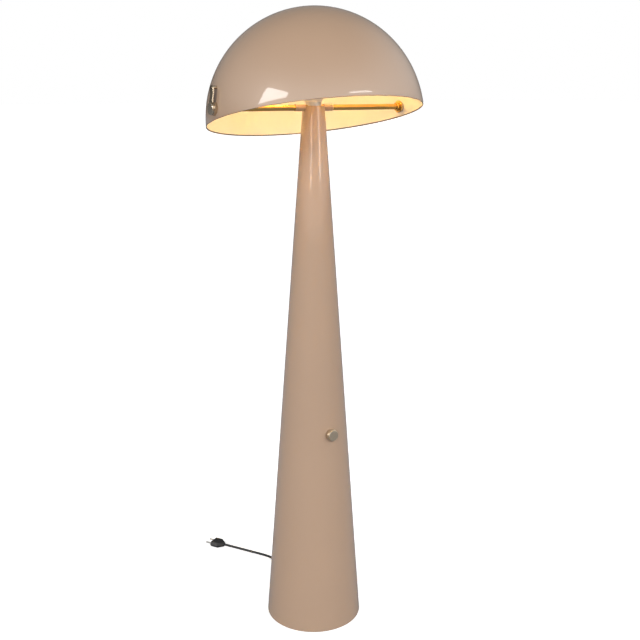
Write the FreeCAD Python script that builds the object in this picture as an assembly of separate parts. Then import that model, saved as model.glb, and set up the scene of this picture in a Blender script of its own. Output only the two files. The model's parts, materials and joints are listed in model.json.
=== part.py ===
import FreeCAD, Part
import math
import os

# Mushroom floor lamp: a conical stem carries a cross bar on which a domed shade tilts.
# Millimetres, +Z up. The origin is the middle of the foot, on the floor.
# The cross bar runs along X, the dimmer knob is at the front (-Y), the cord leaves at the back (+Y).

V = FreeCAD.Vector
X_AXIS = V(1, 0, 0)
Y_AXIS = V(0, 1, 0)
Z_AXIS = V(0, 0, 1)

# Fits and gaps
running_fit = 0.05          # radial, a shaft that turns in its bore
close_fit = 0.03            # radial, fixed pieces, and threads drawn as plain cylinders
slip_fit = 0.1              # radial, a piece put through a hole by hand
running_gap = 0.3           # between faces of pieces that move past each other

# Stem
stem_height = 1160.0
stem_foot_diameter = 216.0
stem_top_diameter = 46.0
stem_wall = 1.5
stem_floor_gap = 1.0

# Foot
foot_pad_thickness = 3.0
foot_edge_gap = 8.0         # from the stem's foot to the pad, radially
weight_thickness = 25.0
weight_edge_gap = 1.0       # from the weight to the stem's wall, at the weight's top
foot_ring_thickness = 3.0
foot_ring_width = 34.0
base_screw_count = 4
base_screw_diameter = 6.0
base_screw_head_diameter = 10.0
base_screw_head_height = 6.0
base_screw_hole_gap = 0.3
base_screw_inset = 17.0     # from the foot ring's edge
cable_slot_width = 22.0
cable_slot_overrun = 14.0   # past the middle, towards the front
cable_slot_floor = 5.0      # below the lowest point of the gland nut's reach

# Head
bar_below_top = 4.0
hub_plug_height = 26.0
head_cover_thickness = 2.0
hub_boss_diameter = 32.0
hub_boss_above_top = 7.0
wire_bore_diameter = 8.0
nipple_diameter = 10.0
nipple_wall = 1.4
nipple_thread_depth = 16.0

# Cross bar
bar_diameter = 12.0
bar_thread_diameter = 10.0
bar_thread_start = 9.2      # from the lamp's axis
spigot_diameter = 8.0
collar_diameter = 14.0
collar_reach = 45.0         # from the lamp's axis to the collar's outer end

# Shade
shade_diameter = 450.0
shade_wall = 1.5
shade_centre_drop = 26.0    # the sphere's centre below the bar
shade_rim_drop = 21.0       # the rim's plane below the bar
shade_tilt = -12.0          # degrees about the bar, the crown leaning to the back

# Shade pivots, listed from inside the shade outwards
pivot_hub_diameter = 17.0
pivot_hub_length = 6.0
pivot_flange_diameter = 26.0
pivot_flange_thickness = 3.5
friction_washer_diameter = 22.0
friction_washer_thickness = 0.8
bush_flange_diameter = 22.0
bush_flange_thickness = 3.4
bush_barrel_diameter = 12.0
boss_across_flats = 25.8
boss_height = 5.0
stay_thickness = 2.5
stay_width = 15.0
stay_eye_diameter = 26.0
stay_length = 41.0          # from the bar to the stay's screw
stay_tip = 4.5              # past the screw
stay_joggle = 4.0           # how far the stay's tip is bent in towards the dome
stay_bend_low = 15.0        # from the bar to where the bend starts
stay_bend_high = 30.0       # from the bar to where it ends
stay_post_diameter = 6.4
stay_screw_diameter = 3.0
stay_screw_head_diameter = 5.4
stay_screw_head_height = 1.6
stay_nut_across_flats = 5.5
stay_nut_height = 2.4
cap_nut_diameter = 24.5
cap_nut_thickness = 3.2
cap_nut_chamfer = 0.8
cap_nut_blind = 1.2

# Lampholder for a 27 mm screw cap
holder_diameter = 39.0
holder_bottom_diameter = 34.0
holder_wall = 1.6
holder_cap_height = 23.0
holder_shell_height = 34.0
insulator_thickness = 10.0
wire_hole_depth = 3.0
screw_shell_wall = 0.9
screw_shell_height = 29.0
holder_contact_diameter = 7.0
holder_contact_height = 4.0
nipple_nut_across_flats = 14.0
nipple_nut_height = 3.0

# Bulb
bulb_cap_diameter = 26.6
bulb_cap_wall = 0.5
bulb_cap_length = 25.5
bulb_tip_height = 2.0
bulb_tip_diameter = 18.0
bulb_contact_diameter = 8.8
bulb_contact_height = 1.2
bulb_body_bottom_diameter = 29.0
bulb_body_height = 33.0
bulb_body_wall = 2.0
bulb_diameter = 60.0
bulb_globe_centre = 10.0    # above the body's top
bulb_wall = 1.2
bulb_plate_thickness = 1.5

# Dimmer
dimmer_height = 460.0
dimmer_wall_gap = 2.1       # from the stem's inner face to the module
module_width = 32.0
module_depth = 20.0
dimmer_bush_diameter = 10.0
dimmer_bush_reach = 2.8
dimmer_washer_diameter = 18.0
dimmer_washer_thickness = 1.5
dimmer_nut_across_flats = 14.0
dimmer_nut_height = 2.5
dimmer_shaft_diameter = 6.0
dimmer_shaft_depth = 12.0
knob_gap = 0.8
knob_across_flats = 25.8
knob_height = 7.2
knob_recess_diameter = 21.0
knob_recess_depth = 2.6
knob_cap_diameter = 24.0
knob_cap_height = 3.4
knob_cap_chamfer = 0.8

# Cord and its pieces
cord_diameter = 6.0
floor_clearance = 0.05
gland_flange_diameter = 18.0
gland_flange_thickness = 2.9
gland_neck_diameter = 12.0
gland_nut_thickness = 4.7
gland_neck_reach = 8.3      # inside the stem's outer face
boot_length = 22.0
boot_root_diameter = 13.0
boot_tip_diameter = 8.4
lamp_flex_diameter = 4.8
inner_bend_radius = 35.0
clamp_length = 40.0
clamp_width = 12.0
clamp_thickness = 2.5
clamp_from_axis = 50.0
clamp_screw_diameter = 4.0
clamp_screw_head_diameter = 7.0
clamp_screw_head_height = 2.2
clamp_screw_length = 12.5

# Coil of the spare cord, lying close behind the foot
coil_mid_radius = 33.1
coil_turns = 8
coil_layers = 4
coil_gap = 0.6
coil_lift = 0.6             # room for the tie under the lowest turns
coil_start_distance = 150.0
tie_thickness = 0.5
tie_width = 8.0
tie_clearance = 0.5

# Free stretch on the floor, from the coil to the plug, chosen by hand
lead_first_run = 18.0
floor_route = [(6.0, 203.0), (21.0, 229.0), (24.0, 256.0), (8.0, 285.0), (-12.3, 317.0)]
plug_approach = (-35.5, 343.5)      # from here the cord runs level, held up by the plug
plug_start = (-55.2, 374.5)

# Flat two-pin mains plug
plug_width = 35.3
plug_flat_width = 26.1
plug_thickness = 13.7
plug_head_length = 20.0
plug_taper_length = 14.0
plug_neck_width = 11.0
plug_neck_flat_width = 7.0
plug_neck_thickness = 9.0
pin_diameter = 4.0
pin_length = 19.0
pin_spacing = 18.6

# Worked out from the sizes above
foot_radius = stem_foot_diameter / 2
top_radius = stem_top_diameter / 2
stem_slope = (foot_radius - top_radius) / stem_height
bar_z = stem_height - bar_below_top
bar_radius = bar_diameter / 2
spigot_radius = spigot_diameter / 2
shade_radius = shade_diameter / 2
shade_inner_radius = shade_radius - shade_wall
shade_centre = V(0, 0, bar_z - shade_centre_drop)
pivot = V(0, 0, bar_z)
weight_bottom = foot_pad_thickness
weight_top = weight_bottom + weight_thickness
cord_radius = cord_diameter / 2
turn_pitch = cord_diameter + coil_gap
turns_per_layer = coil_turns / coil_layers
coil_outer_radius = coil_mid_radius + turn_pitch * turns_per_layer / 2
coil_bottom_z = cord_radius + coil_lift
gland_z = coil_bottom_z + turn_pitch * (coil_layers - 1)


def stem_radius(z):
    return foot_radius - stem_slope * z


def chord(radius, offset):
    return math.sqrt(radius ** 2 - offset ** 2)


# Distances from the lamp's axis along the bar, from the shade's wall inwards and outwards
wall_inside = chord(shade_inner_radius, shade_centre_drop)
wall_outside = chord(shade_radius, shade_centre_drop)
bush_face = wall_inside - bush_flange_thickness
washer_start = bush_face - running_gap - friction_washer_thickness
bar_shoulder = washer_start - pivot_flange_thickness
boss_face = wall_outside + boss_height
stay_face = boss_face + stay_thickness
tip_back = boss_face - stay_joggle
tip_face = stay_face - stay_joggle
cap_nut_back = stay_face + running_gap
cap_nut_face = cap_nut_back + cap_nut_thickness
spigot_end = cap_nut_face - cap_nut_blind - running_gap

parts = {}


# ---------------------------------------------------------------- shapes

def rod(radius, start, end):
    return Part.makeCylinder(radius, (end - start).Length, start, end - start)


def ring(outer, inner, start, end):
    return rod(outer, start, end).cut(rod(inner, start, end))


def bar_rod(radius, start, end):
    return rod(radius, V(start, 0, bar_z), V(end, 0, bar_z))


def bar_ring(outer, inner, start, end):
    return bar_rod(outer, start, end).cut(bar_rod(inner, start, end))


def upright(radius, low, high):
    return rod(radius, V(0, 0, low), V(0, 0, high))


def turned(profile):
    points = [V(r, 0, z) for r, z in profile]
    face = Part.Face(Part.makePolygon(points + [points[0]]))
    return face.revolve(V(0, 0, 0), Z_AXIS, 360)


def prism(sides, across_flats, start, end, first_corner):
    radius = across_flats / 2 / math.cos(math.pi / sides)
    height = (end - start).Length
    corners = []
    for i in range(sides):
        angle = math.radians(first_corner) + 2 * math.pi * i / sides
        corners.append(V(radius * math.cos(angle), radius * math.sin(angle), 0))
    solid = Part.Face(Part.makePolygon(corners + [corners[0]])).extrude(V(0, 0, height))
    solid.Placement = FreeCAD.Placement(start, FreeCAD.Rotation(Z_AXIS, end - start))
    return solid


def box(low, high):
    size = high - low
    return Part.makeBox(size.x, size.y, size.z, low)


def chamfered_disc(radius, chamfer, height):
    return turned([(0, 0), (radius, 0), (radius, height - chamfer), (radius - chamfer, height), (0, height)])


def stem_space(offset):
    # the cone inside a surface that lies this far outside the stem's outer face, with room at both ends
    low = -20.0
    high = stem_height + 20.0
    return Part.makeCone(stem_radius(low) + offset, stem_radius(high) + offset, high - low, V(0, 0, low))


def mirrored(shape):
    return shape.mirror(V(0, 0, 0), X_AXIS)


def tilted(shape):
    copy = shape.copy()
    copy.rotate(pivot, X_AXIS, shade_tilt)
    return copy


def add_pair(name, shape):
    parts[name + "_right"] = shape
    parts[name + "_left"] = mirrored(shape)


# ---------------------------------------------------------------- cables

def corner_radius(before, corner, after):
    first = corner - before
    second = after - corner
    turn = first.getAngle(second)
    return 0.45 * min(first.Length, second.Length) / math.tan(turn / 2)


def rounded_path(points, radii):
    # straight runs joined by arcs that touch them
    edges = []
    here = points[0]
    for before, corner, after, radius in zip(points, points[1:], points[2:], radii):
        back = (before - corner).normalize()
        ahead = (after - corner).normalize()
        turn = math.pi - back.getAngle(ahead)
        reach = radius * math.tan(turn / 2)
        start = corner + back * reach
        end = corner + ahead * reach
        middle = corner + (back + ahead).normalize() * (radius / math.cos(turn / 2) - radius)
        edges.append(Part.LineSegment(here, start).toShape())
        edges.append(Part.Arc(start, middle, end).toShape())
        here = end
    edges.append(Part.LineSegment(here, points[-1]).toShape())
    return Part.Wire(edges)


def free_radii(points):
    return [corner_radius(a, b, c) for a, b, c in zip(points, points[1:], points[2:])]


def tube(name, path, radius):
    start = path.Edges[0].valueAt(path.Edges[0].FirstParameter)
    heading = path.Edges[0].tangentAt(path.Edges[0].FirstParameter)
    section = Part.Wire(Part.makeCircle(radius, start, heading))
    solid = path.makePipeShell([section], True, False)
    expected = math.pi * radius ** 2 * path.Length
    print(name, "length", round(path.Length, 1), "volume ratio", round(solid.Volume / expected, 5))
    return solid


# ---------------------------------------------------------------- stand

def bar_slot(radius, start, end):
    # open-topped slot round the bar, on the right side
    top = stem_height + hub_boss_above_top
    return bar_rod(radius, start, end).fuse(box(V(start, -radius, bar_z), V(end, radius, top)))


def both_sides(shape):
    return shape.fuse(mirrored(shape))


def make_stem():
    edge = stem_height - head_cover_thickness
    low = stem_floor_gap
    outer = Part.makeCone(stem_radius(low), stem_radius(edge), edge - low, V(0, 0, low))
    inner = stem_space(-stem_wall)
    slots = both_sides(bar_slot(bar_radius + slip_fit, top_radius / 2, top_radius * 2))
    dimmer_hole = rod(dimmer_bush_diameter / 2 + slip_fit, knob_point(-stem_wall * 4), knob_point(stem_wall * 4))
    gland_hole = rod(gland_neck_diameter / 2 + slip_fit, V(0, foot_radius / 2, gland_z), V(0, foot_radius * 2, gland_z))
    parts["stem_cone"] = outer.cut(inner).cut(slots).cut(dimmer_hole).cut(gland_hole)


def base_screw_places(radius):
    places = []
    for i in range(base_screw_count):
        angle = 2 * math.pi * (i + 0.5) / base_screw_count
        places.append(V(radius * math.cos(angle), radius * math.sin(angle), 0))
    return places


def cable_slot():
    floor = gland_z - gland_flange_diameter / 2 - cable_slot_floor
    half = cable_slot_width / 2
    return box(V(-half, -cable_slot_overrun, floor), V(half, foot_radius * 2, weight_top + foot_ring_thickness * 2))


def make_foot():
    ring_top = weight_top + foot_ring_thickness
    ring_radius = stem_radius(ring_top) - stem_wall
    weight_radius = stem_radius(weight_top) - stem_wall - weight_edge_gap
    pad_radius = foot_radius - foot_edge_gap
    places = base_screw_places(ring_radius - base_screw_inset)
    screw_radius = base_screw_diameter / 2
    head_radius = base_screw_head_diameter / 2
    recess_top = weight_bottom + base_screw_head_height + base_screw_hole_gap
    foot_ring = upright(foot_radius, weight_top, ring_top).common(stem_space(-stem_wall - close_fit))
    foot_ring = foot_ring.cut(upright(ring_radius - foot_ring_width, weight_top, ring_top))
    weight = upright(weight_radius, weight_bottom, weight_top)
    pad = upright(pad_radius, 0, foot_pad_thickness)
    screws = []
    for place in places:
        at = lambda z: place + V(0, 0, z)
        head_start = weight_bottom + base_screw_hole_gap
        head_end = head_start + base_screw_head_height
        foot_ring = foot_ring.cut(rod(screw_radius + close_fit, at(0), at(ring_top * 2)))
        weight = weight.cut(rod(screw_radius + base_screw_hole_gap, at(0), at(weight_top * 2)))
        weight = weight.cut(rod(head_radius + base_screw_hole_gap, at(0), at(recess_top)))
        pad = pad.cut(rod(head_radius + base_screw_hole_gap, at(-1), at(foot_pad_thickness * 2)))
        socket = prism(6, head_radius, at(0), at(head_start + base_screw_head_height / 2), 0)
        head = rod(head_radius, at(head_start), at(head_end)).cut(socket)
        screws.append(head.fuse(rod(screw_radius, at(head_end), at(ring_top))).removeSplitter())
    slot = cable_slot()
    parts["stem_foot_ring"] = foot_ring.cut(slot)
    parts["base_weight"] = weight.cut(slot).cut(clamp_screw_rods(clamp_screw_diameter / 2 + close_fit))
    parts["base_screws"] = Part.makeCompound(screws)
    parts["foot_pad"] = pad


def make_hub():
    edge = stem_height - head_cover_thickness
    low = edge - hub_plug_height
    top = stem_height + hub_boss_above_top
    plug = upright(top_radius * 2, low, edge).common(stem_space(-stem_wall - close_fit))
    boss_radius = hub_boss_diameter / 2
    boss = upright(boss_radius, edge, top)
    cover = ring(top_radius, boss_radius + close_fit, V(0, 0, edge), V(0, 0, stem_height))
    wire_bore = upright(wire_bore_diameter / 2, low - 1, top)
    nipple_bore = upright(nipple_diameter / 2 + close_fit, top - nipple_thread_depth, top + 1)
    threads = both_sides(bar_rod(bar_thread_diameter / 2 + close_fit, bar_thread_start, boss_radius))
    slots = both_sides(bar_slot(bar_radius + slip_fit, boss_radius, top_radius * 2))
    hub = plug.fuse(boss).removeSplitter()
    parts["head_hub"] = hub.cut(wire_bore).cut(nipple_bore).cut(threads).cut(slots)
    # the bars part the cover into a front and a back half
    parts["head_cover"] = cover.cut(both_sides(bar_slot(bar_radius + slip_fit, boss_radius / 2, top_radius * 2)))


def make_bars():
    shoulder = hub_boss_diameter / 2
    thread = bar_rod(bar_thread_diameter / 2, bar_thread_start, shoulder)
    body = bar_rod(bar_radius, shoulder, bar_shoulder)
    spigot = bar_rod(spigot_radius, bar_shoulder, spigot_end)
    add_pair("cross_bar", thread.fuse(body).fuse(spigot).removeSplitter())
    collar = bar_ring(collar_diameter / 2, bar_radius + close_fit, top_radius / 2, collar_reach)
    collar = collar.makeChamfer(0.5, [e for e in collar.Edges if on_collar_rim(e)])
    add_pair("collar", collar.cut(stem_space(close_fit)))


def on_collar_rim(edge):
    circle = edge.Curve
    if not isinstance(circle, Part.Circle):
        return False
    return abs(circle.Radius - collar_diameter / 2) < 0.01 and circle.Center.x > collar_reach - 0.01


def make_pivots():
    hub = bar_ring(pivot_hub_diameter / 2, bar_radius + close_fit, bar_shoulder - pivot_hub_length, bar_shoulder)
    disc_end = bar_shoulder + pivot_flange_thickness
    disc = bar_ring(pivot_flange_diameter / 2, spigot_radius + close_fit, bar_shoulder, disc_end)
    add_pair("pivot_flange", hub.fuse(disc).removeSplitter())
    washer_end = washer_start + friction_washer_thickness
    add_pair("friction_washer",
             bar_ring(friction_washer_diameter / 2, spigot_radius + slip_fit, washer_start, washer_end))


# ---------------------------------------------------------------- lampholder and bulb

def make_lampholder():
    bottom = stem_height + hub_boss_above_top
    seam = bottom + holder_cap_height
    mouth = seam + holder_shell_height
    outer = holder_diameter / 2
    inner = outer - holder_wall
    foot = holder_bottom_diameter / 2
    floor = bottom + holder_wall
    nipple_outer = nipple_diameter / 2
    nipple_top = floor + nipple_nut_height + 2
    nipple_low = bottom - nipple_thread_depth + 1
    parts["lampholder_nipple"] = ring(nipple_outer, nipple_outer - nipple_wall, V(0, 0, nipple_low),
                                      V(0, 0, nipple_top))
    nut = prism(6, nipple_nut_across_flats, V(0, 0, floor), V(0, 0, floor + nipple_nut_height), 0)
    parts["nipple_nut"] = nut.cut(upright(nipple_outer + close_fit, floor - 1, nipple_top))
    hole = nipple_outer + close_fit
    parts["lampholder_cap"] = turned([(hole, bottom), (foot, bottom), (outer, bottom + 6), (outer, seam),
                                      (inner, seam), (inner, bottom + 6), (foot - holder_wall, floor),
                                      (hole, floor)])
    insulator_low = seam - insulator_thickness
    wire_hole = upright(lamp_flex_diameter / 2 + close_fit, insulator_low, insulator_low + wire_hole_depth)
    parts["lampholder_insulator"] = upright(inner - close_fit, insulator_low, seam).cut(wire_hole)
    shell_outer = bulb_cap_diameter / 2 + running_fit + screw_shell_wall
    bore = shell_outer + close_fit
    parts["lampholder_shell"] = turned([(bore, seam), (outer, seam), (outer, mouth - 1.5), (inner, mouth),
                                        (bore, mouth)])
    parts["lampholder_screw_shell"] = ring(shell_outer, shell_outer - screw_shell_wall, V(0, 0, seam),
                                           V(0, 0, seam + screw_shell_height))
    parts["lampholder_contact"] = upright(holder_contact_diameter / 2, seam, seam + holder_contact_height)
    return insulator_low + wire_hole_depth, seam + holder_contact_height + running_gap, mouth


def make_bulb(contact_z, mouth):
    tip_z = contact_z + bulb_contact_height
    cap_low = tip_z + bulb_tip_height
    cap_top = cap_low + bulb_cap_length
    cap_outer = bulb_cap_diameter / 2
    cap_inner = cap_outer - bulb_cap_wall
    body_low = max(cap_top, mouth + running_gap)
    body_top = body_low + bulb_body_height
    contact_radius = bulb_contact_diameter / 2
    tip_radius = bulb_tip_diameter / 2
    parts["bulb_contact"] = upright(contact_radius, contact_z, tip_z)
    parts["bulb_tip_insulator"] = Part.makeCone(contact_radius, tip_radius, bulb_tip_height, V(0, 0, tip_z))
    parts["bulb_cap"] = turned([(0, cap_low), (tip_radius, cap_low), (cap_outer, cap_low + 3),
                                (cap_outer, body_low), (cap_inner, body_low), (cap_inner, cap_low + 3),
                                (tip_radius, cap_low + bulb_cap_wall), (0, cap_low + bulb_cap_wall)])
    globe_radius = bulb_diameter / 2
    low_radius = bulb_body_bottom_diameter / 2
    high_radius = chord(globe_radius, bulb_globe_centre)
    floor = body_low + bulb_body_wall
    parts["bulb_body"] = turned([(tip_radius, body_low), (low_radius, body_low), (high_radius, body_top),
                                 (high_radius - bulb_body_wall, body_top), (low_radius - bulb_body_wall, floor),
                                 (tip_radius, floor)])
    centre = body_top + bulb_globe_centre
    above = box(V(-globe_radius, -globe_radius, body_top), V(globe_radius, globe_radius, centre + globe_radius))
    outer = Part.makeSphere(globe_radius, V(0, 0, centre))
    inner = Part.makeSphere(globe_radius - bulb_wall, V(0, 0, centre))
    parts["bulb_globe"] = outer.cut(inner).common(above)
    plate_radius = chord(globe_radius - bulb_wall, bulb_globe_centre) - 2 * bulb_wall
    parts["bulb_led_plate"] = upright(plate_radius, body_top, body_top + bulb_plate_thickness)
    parts["bulb_driver"] = upright(tip_radius + 1, floor, body_top)


# ---------------------------------------------------------------- dimmer

slope_angle = math.atan(stem_slope)
knob_axis = V(0, -math.cos(slope_angle), math.sin(slope_angle))
knob_up = V(0, math.sin(slope_angle), math.cos(slope_angle))


def knob_point(outward, up=0.0, sideways=0.0):
    on_wall = V(0, -stem_radius(dimmer_height), dimmer_height)
    return on_wall + knob_axis * outward + knob_up * up + X_AXIS * sideways


def on_knob_axis(shape, outward):
    # from a piece drawn on +Z at the origin
    copy = shape.copy()
    copy.Placement = FreeCAD.Placement(knob_point(outward), FreeCAD.Rotation(Z_AXIS, knob_axis))
    return copy


def module_face():
    return -stem_wall - dimmer_wall_gap


def make_dimmer():
    face = module_face()
    shaft = dimmer_shaft_diameter / 2
    bush_radius = dimmer_bush_diameter / 2
    half = module_width / 2
    block = on_knob_axis(box(V(-half, -half, -module_depth), V(half, half, 0)), face)
    bush = rod(bush_radius, knob_point(face), knob_point(dimmer_bush_reach))
    bore = rod(shaft + running_fit, knob_point(-dimmer_shaft_depth - running_gap), knob_point(dimmer_bush_reach * 2))
    parts["dimmer_module"] = block.fuse(bush).removeSplitter().cut(bore)
    washer_radius = dimmer_washer_diameter / 2
    parts["dimmer_washer"] = ring(washer_radius, bush_radius + slip_fit, knob_point(face),
                                  knob_point(face + dimmer_washer_thickness))
    nut_start = knob_point(slip_fit)
    nut_end = knob_point(slip_fit + dimmer_nut_height)
    nut = prism(6, dimmer_nut_across_flats, nut_start, nut_end, 0)
    parts["dimmer_nut"] = nut.cut(rod(bush_radius + close_fit, nut_start, nut_end))
    knob_end = knob_gap + knob_height
    parts["dimmer_shaft"] = rod(shaft, knob_point(-dimmer_shaft_depth), knob_point(knob_end))
    octagon = prism(8, knob_across_flats, V(0, 0, 0), V(0, 0, knob_height), 22.5)
    edge_cone = Part.makeCone(knob_across_flats / 2 + knob_height, knob_across_flats / 2 - 0.4, knob_height)
    recess = rod(knob_recess_diameter / 2, V(0, 0, 0), V(0, 0, knob_recess_depth))
    bore = rod(shaft + close_fit, V(0, 0, 0), V(0, 0, knob_height))
    parts["dimmer_knob"] = on_knob_axis(octagon.common(edge_cone).cut(recess).cut(bore), knob_gap)
    cap = chamfered_disc(knob_cap_diameter / 2, knob_cap_chamfer, knob_cap_height)
    parts["dimmer_knob_cap"] = on_knob_axis(cap, knob_end)


# ---------------------------------------------------------------- shade

def shade_sphere(radius):
    return Part.makeSphere(radius, shade_centre)


def stay_wall(radius):
    return chord(radius, shade_centre_drop + stay_length)


def at_stay(radius, start, end):
    height = bar_z + stay_length
    return rod(radius, V(start, 0, height), V(end, 0, height))


def make_dome():
    rim = bar_z - shade_rim_drop
    span = shade_radius * 1.1
    above_rim = box(V(-span, -span, rim), V(span, span, rim + 2 * span))
    dome = shade_sphere(shade_radius).cut(shade_sphere(shade_inner_radius)).common(above_rim)
    pivot_holes = both_sides(bar_rod(bush_barrel_diameter / 2 + slip_fit, shade_radius / 2, span))
    stay_holes = both_sides(at_stay(stay_screw_diameter / 2 + slip_fit, shade_radius / 2, span))
    parts["shade_dome"] = tilted(dome.cut(pivot_holes).cut(stay_holes))


def make_shade_pivots():
    inside = shade_sphere(shade_inner_radius - close_fit)
    outside = shade_sphere(shade_radius + close_fit)
    barrel = bush_barrel_diameter / 2
    bore = spigot_radius + running_fit
    flange = bar_rod(bush_flange_diameter / 2, bush_face, shade_radius).common(inside)
    bush = flange.fuse(bar_rod(barrel, bush_face, boss_face)).removeSplitter()
    add_pair("shade_bush", tilted(bush.cut(bar_rod(bore, 0, shade_diameter))))
    boss = prism(8, boss_across_flats, V(shade_radius * 0.9, 0, bar_z), V(boss_face, 0, bar_z), 0)
    boss = boss.cut(outside).cut(bar_rod(barrel + close_fit, 0, shade_diameter))
    add_pair("pivot_boss", tilted(boss))


def stay_profile(top, half):
    # the strip seen from the front, bent in above the boss so that its tip lies nearer the dome
    low = bar_z + stay_bend_low
    high = bar_z + stay_bend_high
    places = [(boss_face, bar_z), (stay_face, bar_z), (stay_face, low), (tip_face, high),
              (tip_face, top), (tip_back, top), (tip_back, high), (boss_face, low)]
    points = [V(x, -half, z) for x, z in places]
    return Part.Face(Part.makePolygon(points + [points[0]])).extrude(V(0, 2 * half, 0))


def make_stays():
    half = stay_width / 2
    top = bar_z + stay_length + stay_tip
    eye = bar_rod(stay_eye_diameter / 2, boss_face, stay_face)
    outline = box(V(0, -half, bar_z), V(stay_face, half, top - half)).fuse(
        rod(half, V(0, 0, top - half), V(stay_face, 0, top - half)))
    strip = stay_profile(top, half * 1.2).common(outline)
    bores = bar_rod(spigot_radius + running_gap, 0, shade_diameter).fuse(
        at_stay(stay_screw_diameter / 2 + slip_fit, 0, shade_diameter))
    add_pair("stay", tilted(eye.fuse(strip).removeSplitter().cut(bores)))
    hole = stay_screw_diameter / 2 + close_fit
    outside = shade_sphere(shade_radius + close_fit)
    post = at_stay(stay_post_diameter / 2, shade_radius * 0.9, tip_back)
    post = post.cut(outside).cut(at_stay(hole, 0, shade_diameter))
    add_pair("stay_post", tilted(post))
    nut_end = stay_wall(shade_inner_radius)
    nut_start = nut_end - stay_nut_height - 1.0
    height = bar_z + stay_length
    nut = prism(6, stay_nut_across_flats, V(nut_start, 0, height), V(nut_end + 4, 0, height), 0)
    nut = nut.common(shade_sphere(shade_inner_radius - close_fit)).cut(at_stay(hole, 0, shade_diameter))
    screw_radius = stay_screw_diameter / 2
    head_end = tip_face + stay_screw_head_height
    slot = box(V(head_end - 0.8, -4, height - 0.4), V(head_end + 1, 4, height + 0.4))
    head = at_stay(stay_screw_head_diameter / 2, tip_face, head_end).cut(slot)
    screw = at_stay(screw_radius, nut_start - 1.0, tip_face).fuse(head).removeSplitter()
    parts["stay_nuts"] = Part.makeCompound([tilted(nut), tilted(mirrored(nut))])
    parts["stay_screws"] = Part.makeCompound([tilted(screw), tilted(mirrored(screw))])


def make_cap_nuts():
    disc = chamfered_disc(cap_nut_diameter / 2, cap_nut_chamfer, cap_nut_thickness)
    disc.Placement = FreeCAD.Placement(V(cap_nut_back, 0, bar_z), FreeCAD.Rotation(Z_AXIS, X_AXIS))
    blind_bore = bar_rod(spigot_radius + running_fit, 0, cap_nut_face - cap_nut_blind)
    add_pair("cap_nut", disc.cut(blind_bore))


# ---------------------------------------------------------------- wiring and cord

def make_gland():
    wall = stem_radius(gland_z)
    inner_wall = wall - stem_wall
    flange_end = wall + gland_flange_thickness
    boot_end = flange_end + boot_length
    at = lambda y: V(0, y, gland_z)
    flange = rod(gland_flange_diameter / 2, at(wall * 0.9), at(flange_end)).cut(stem_space(slip_fit))
    neck = rod(gland_neck_diameter / 2, at(wall - gland_neck_reach), at(flange_end))
    boot = Part.makeCone(boot_root_diameter / 2, boot_tip_diameter / 2, boot_length, at(flange_end), Y_AXIS)
    bore = rod(cord_radius + close_fit, at(0), at(boot_end + 1))
    parts["cable_gland"] = flange.fuse(neck).fuse(boot).removeSplitter().cut(bore)
    nut_end = chord(inner_wall, gland_flange_diameter / 2) - slip_fit
    nut_start = nut_end - gland_nut_thickness
    nut = prism(6, gland_flange_diameter - 2, at(nut_start), at(nut_end), 0)
    nut = nut.common(stem_space(-stem_wall - slip_fit))
    parts["gland_nut"] = nut.cut(rod(gland_neck_diameter / 2 + close_fit, at(0), at(nut_end + 1)))
    return boot_end


def clamp_screw_rods(radius):
    top = weight_top + clamp_thickness
    spread = clamp_length / 2 - clamp_screw_head_diameter / 2 - 1
    rods = [rod(radius, V(x, clamp_from_axis, top - clamp_screw_length), V(x, clamp_from_axis, top))
            for x in (-spread, spread)]
    return rods[0].fuse(rods[1])


def make_clamp():
    half_length = clamp_length / 2
    half_width = clamp_width / 2
    top = weight_top + clamp_thickness
    cable_top = gland_z + cord_radius
    plate = box(V(-half_length, clamp_from_axis - half_width, weight_top),
                V(half_length, clamp_from_axis + half_width, top))
    pad = box(V(-cord_diameter, clamp_from_axis - half_width, cable_top + close_fit),
              V(cord_diameter, clamp_from_axis + half_width, weight_top))
    screw_radius = clamp_screw_diameter / 2
    clamp = plate.fuse(pad).removeSplitter().cut(clamp_screw_rods(screw_radius + slip_fit))
    parts["cable_clamp"] = clamp
    screws = []
    for shank in clamp_screw_rods(screw_radius).Solids:
        at = lambda z: V(shank.CenterOfMass.x, clamp_from_axis, z)
        head = rod(clamp_screw_head_diameter / 2, at(top), at(top + clamp_screw_head_height))
        screws.append(shank.fuse(head).removeSplitter())
    parts["clamp_screws"] = Part.makeCompound(screws)


def make_inner_wiring(boot_end, flex_end):
    middle = module_face() - module_depth / 2
    half = module_width / 2
    bend_y = -cable_slot_overrun + cord_radius + 1
    route = [V(0, boot_end, gland_z), V(0, bend_y, gland_z), V(0, bend_y, dimmer_height - 5 * half),
             knob_point(middle, -3 * half), knob_point(middle, -half)]
    path = rounded_path(route, [inner_bend_radius] * 3)
    parts["supply_cable"] = tube("supply_cable", path, cord_radius)
    route = [knob_point(middle, half), knob_point(middle, 3 * half), V(0, 0, dimmer_height + 8 * half),
             V(0, 0, flex_end)]
    path = rounded_path(route, [inner_bend_radius] * 2)
    parts["lamp_flex"] = tube("lamp_flex", path, lamp_flex_diameter / 2)


def coil_radius_at(turn):
    layer = min(int(turn / turns_per_layer), coil_layers - 1)
    into = turn - layer * turns_per_layer
    if layer % 2 == 0:
        return coil_outer_radius - turn_pitch * into
    return coil_outer_radius - turn_pitch * (turns_per_layer - into)


def radial_rate(turn):
    # change of radius per turn, none where the spiral reverses
    layer = turn / turns_per_layer
    if 0 < turn < coil_turns and abs(layer - round(layer)) < 1e-6:
        return 0.0
    return -turn_pitch if int(min(layer, coil_layers - 1)) % 2 == 0 else turn_pitch


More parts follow.
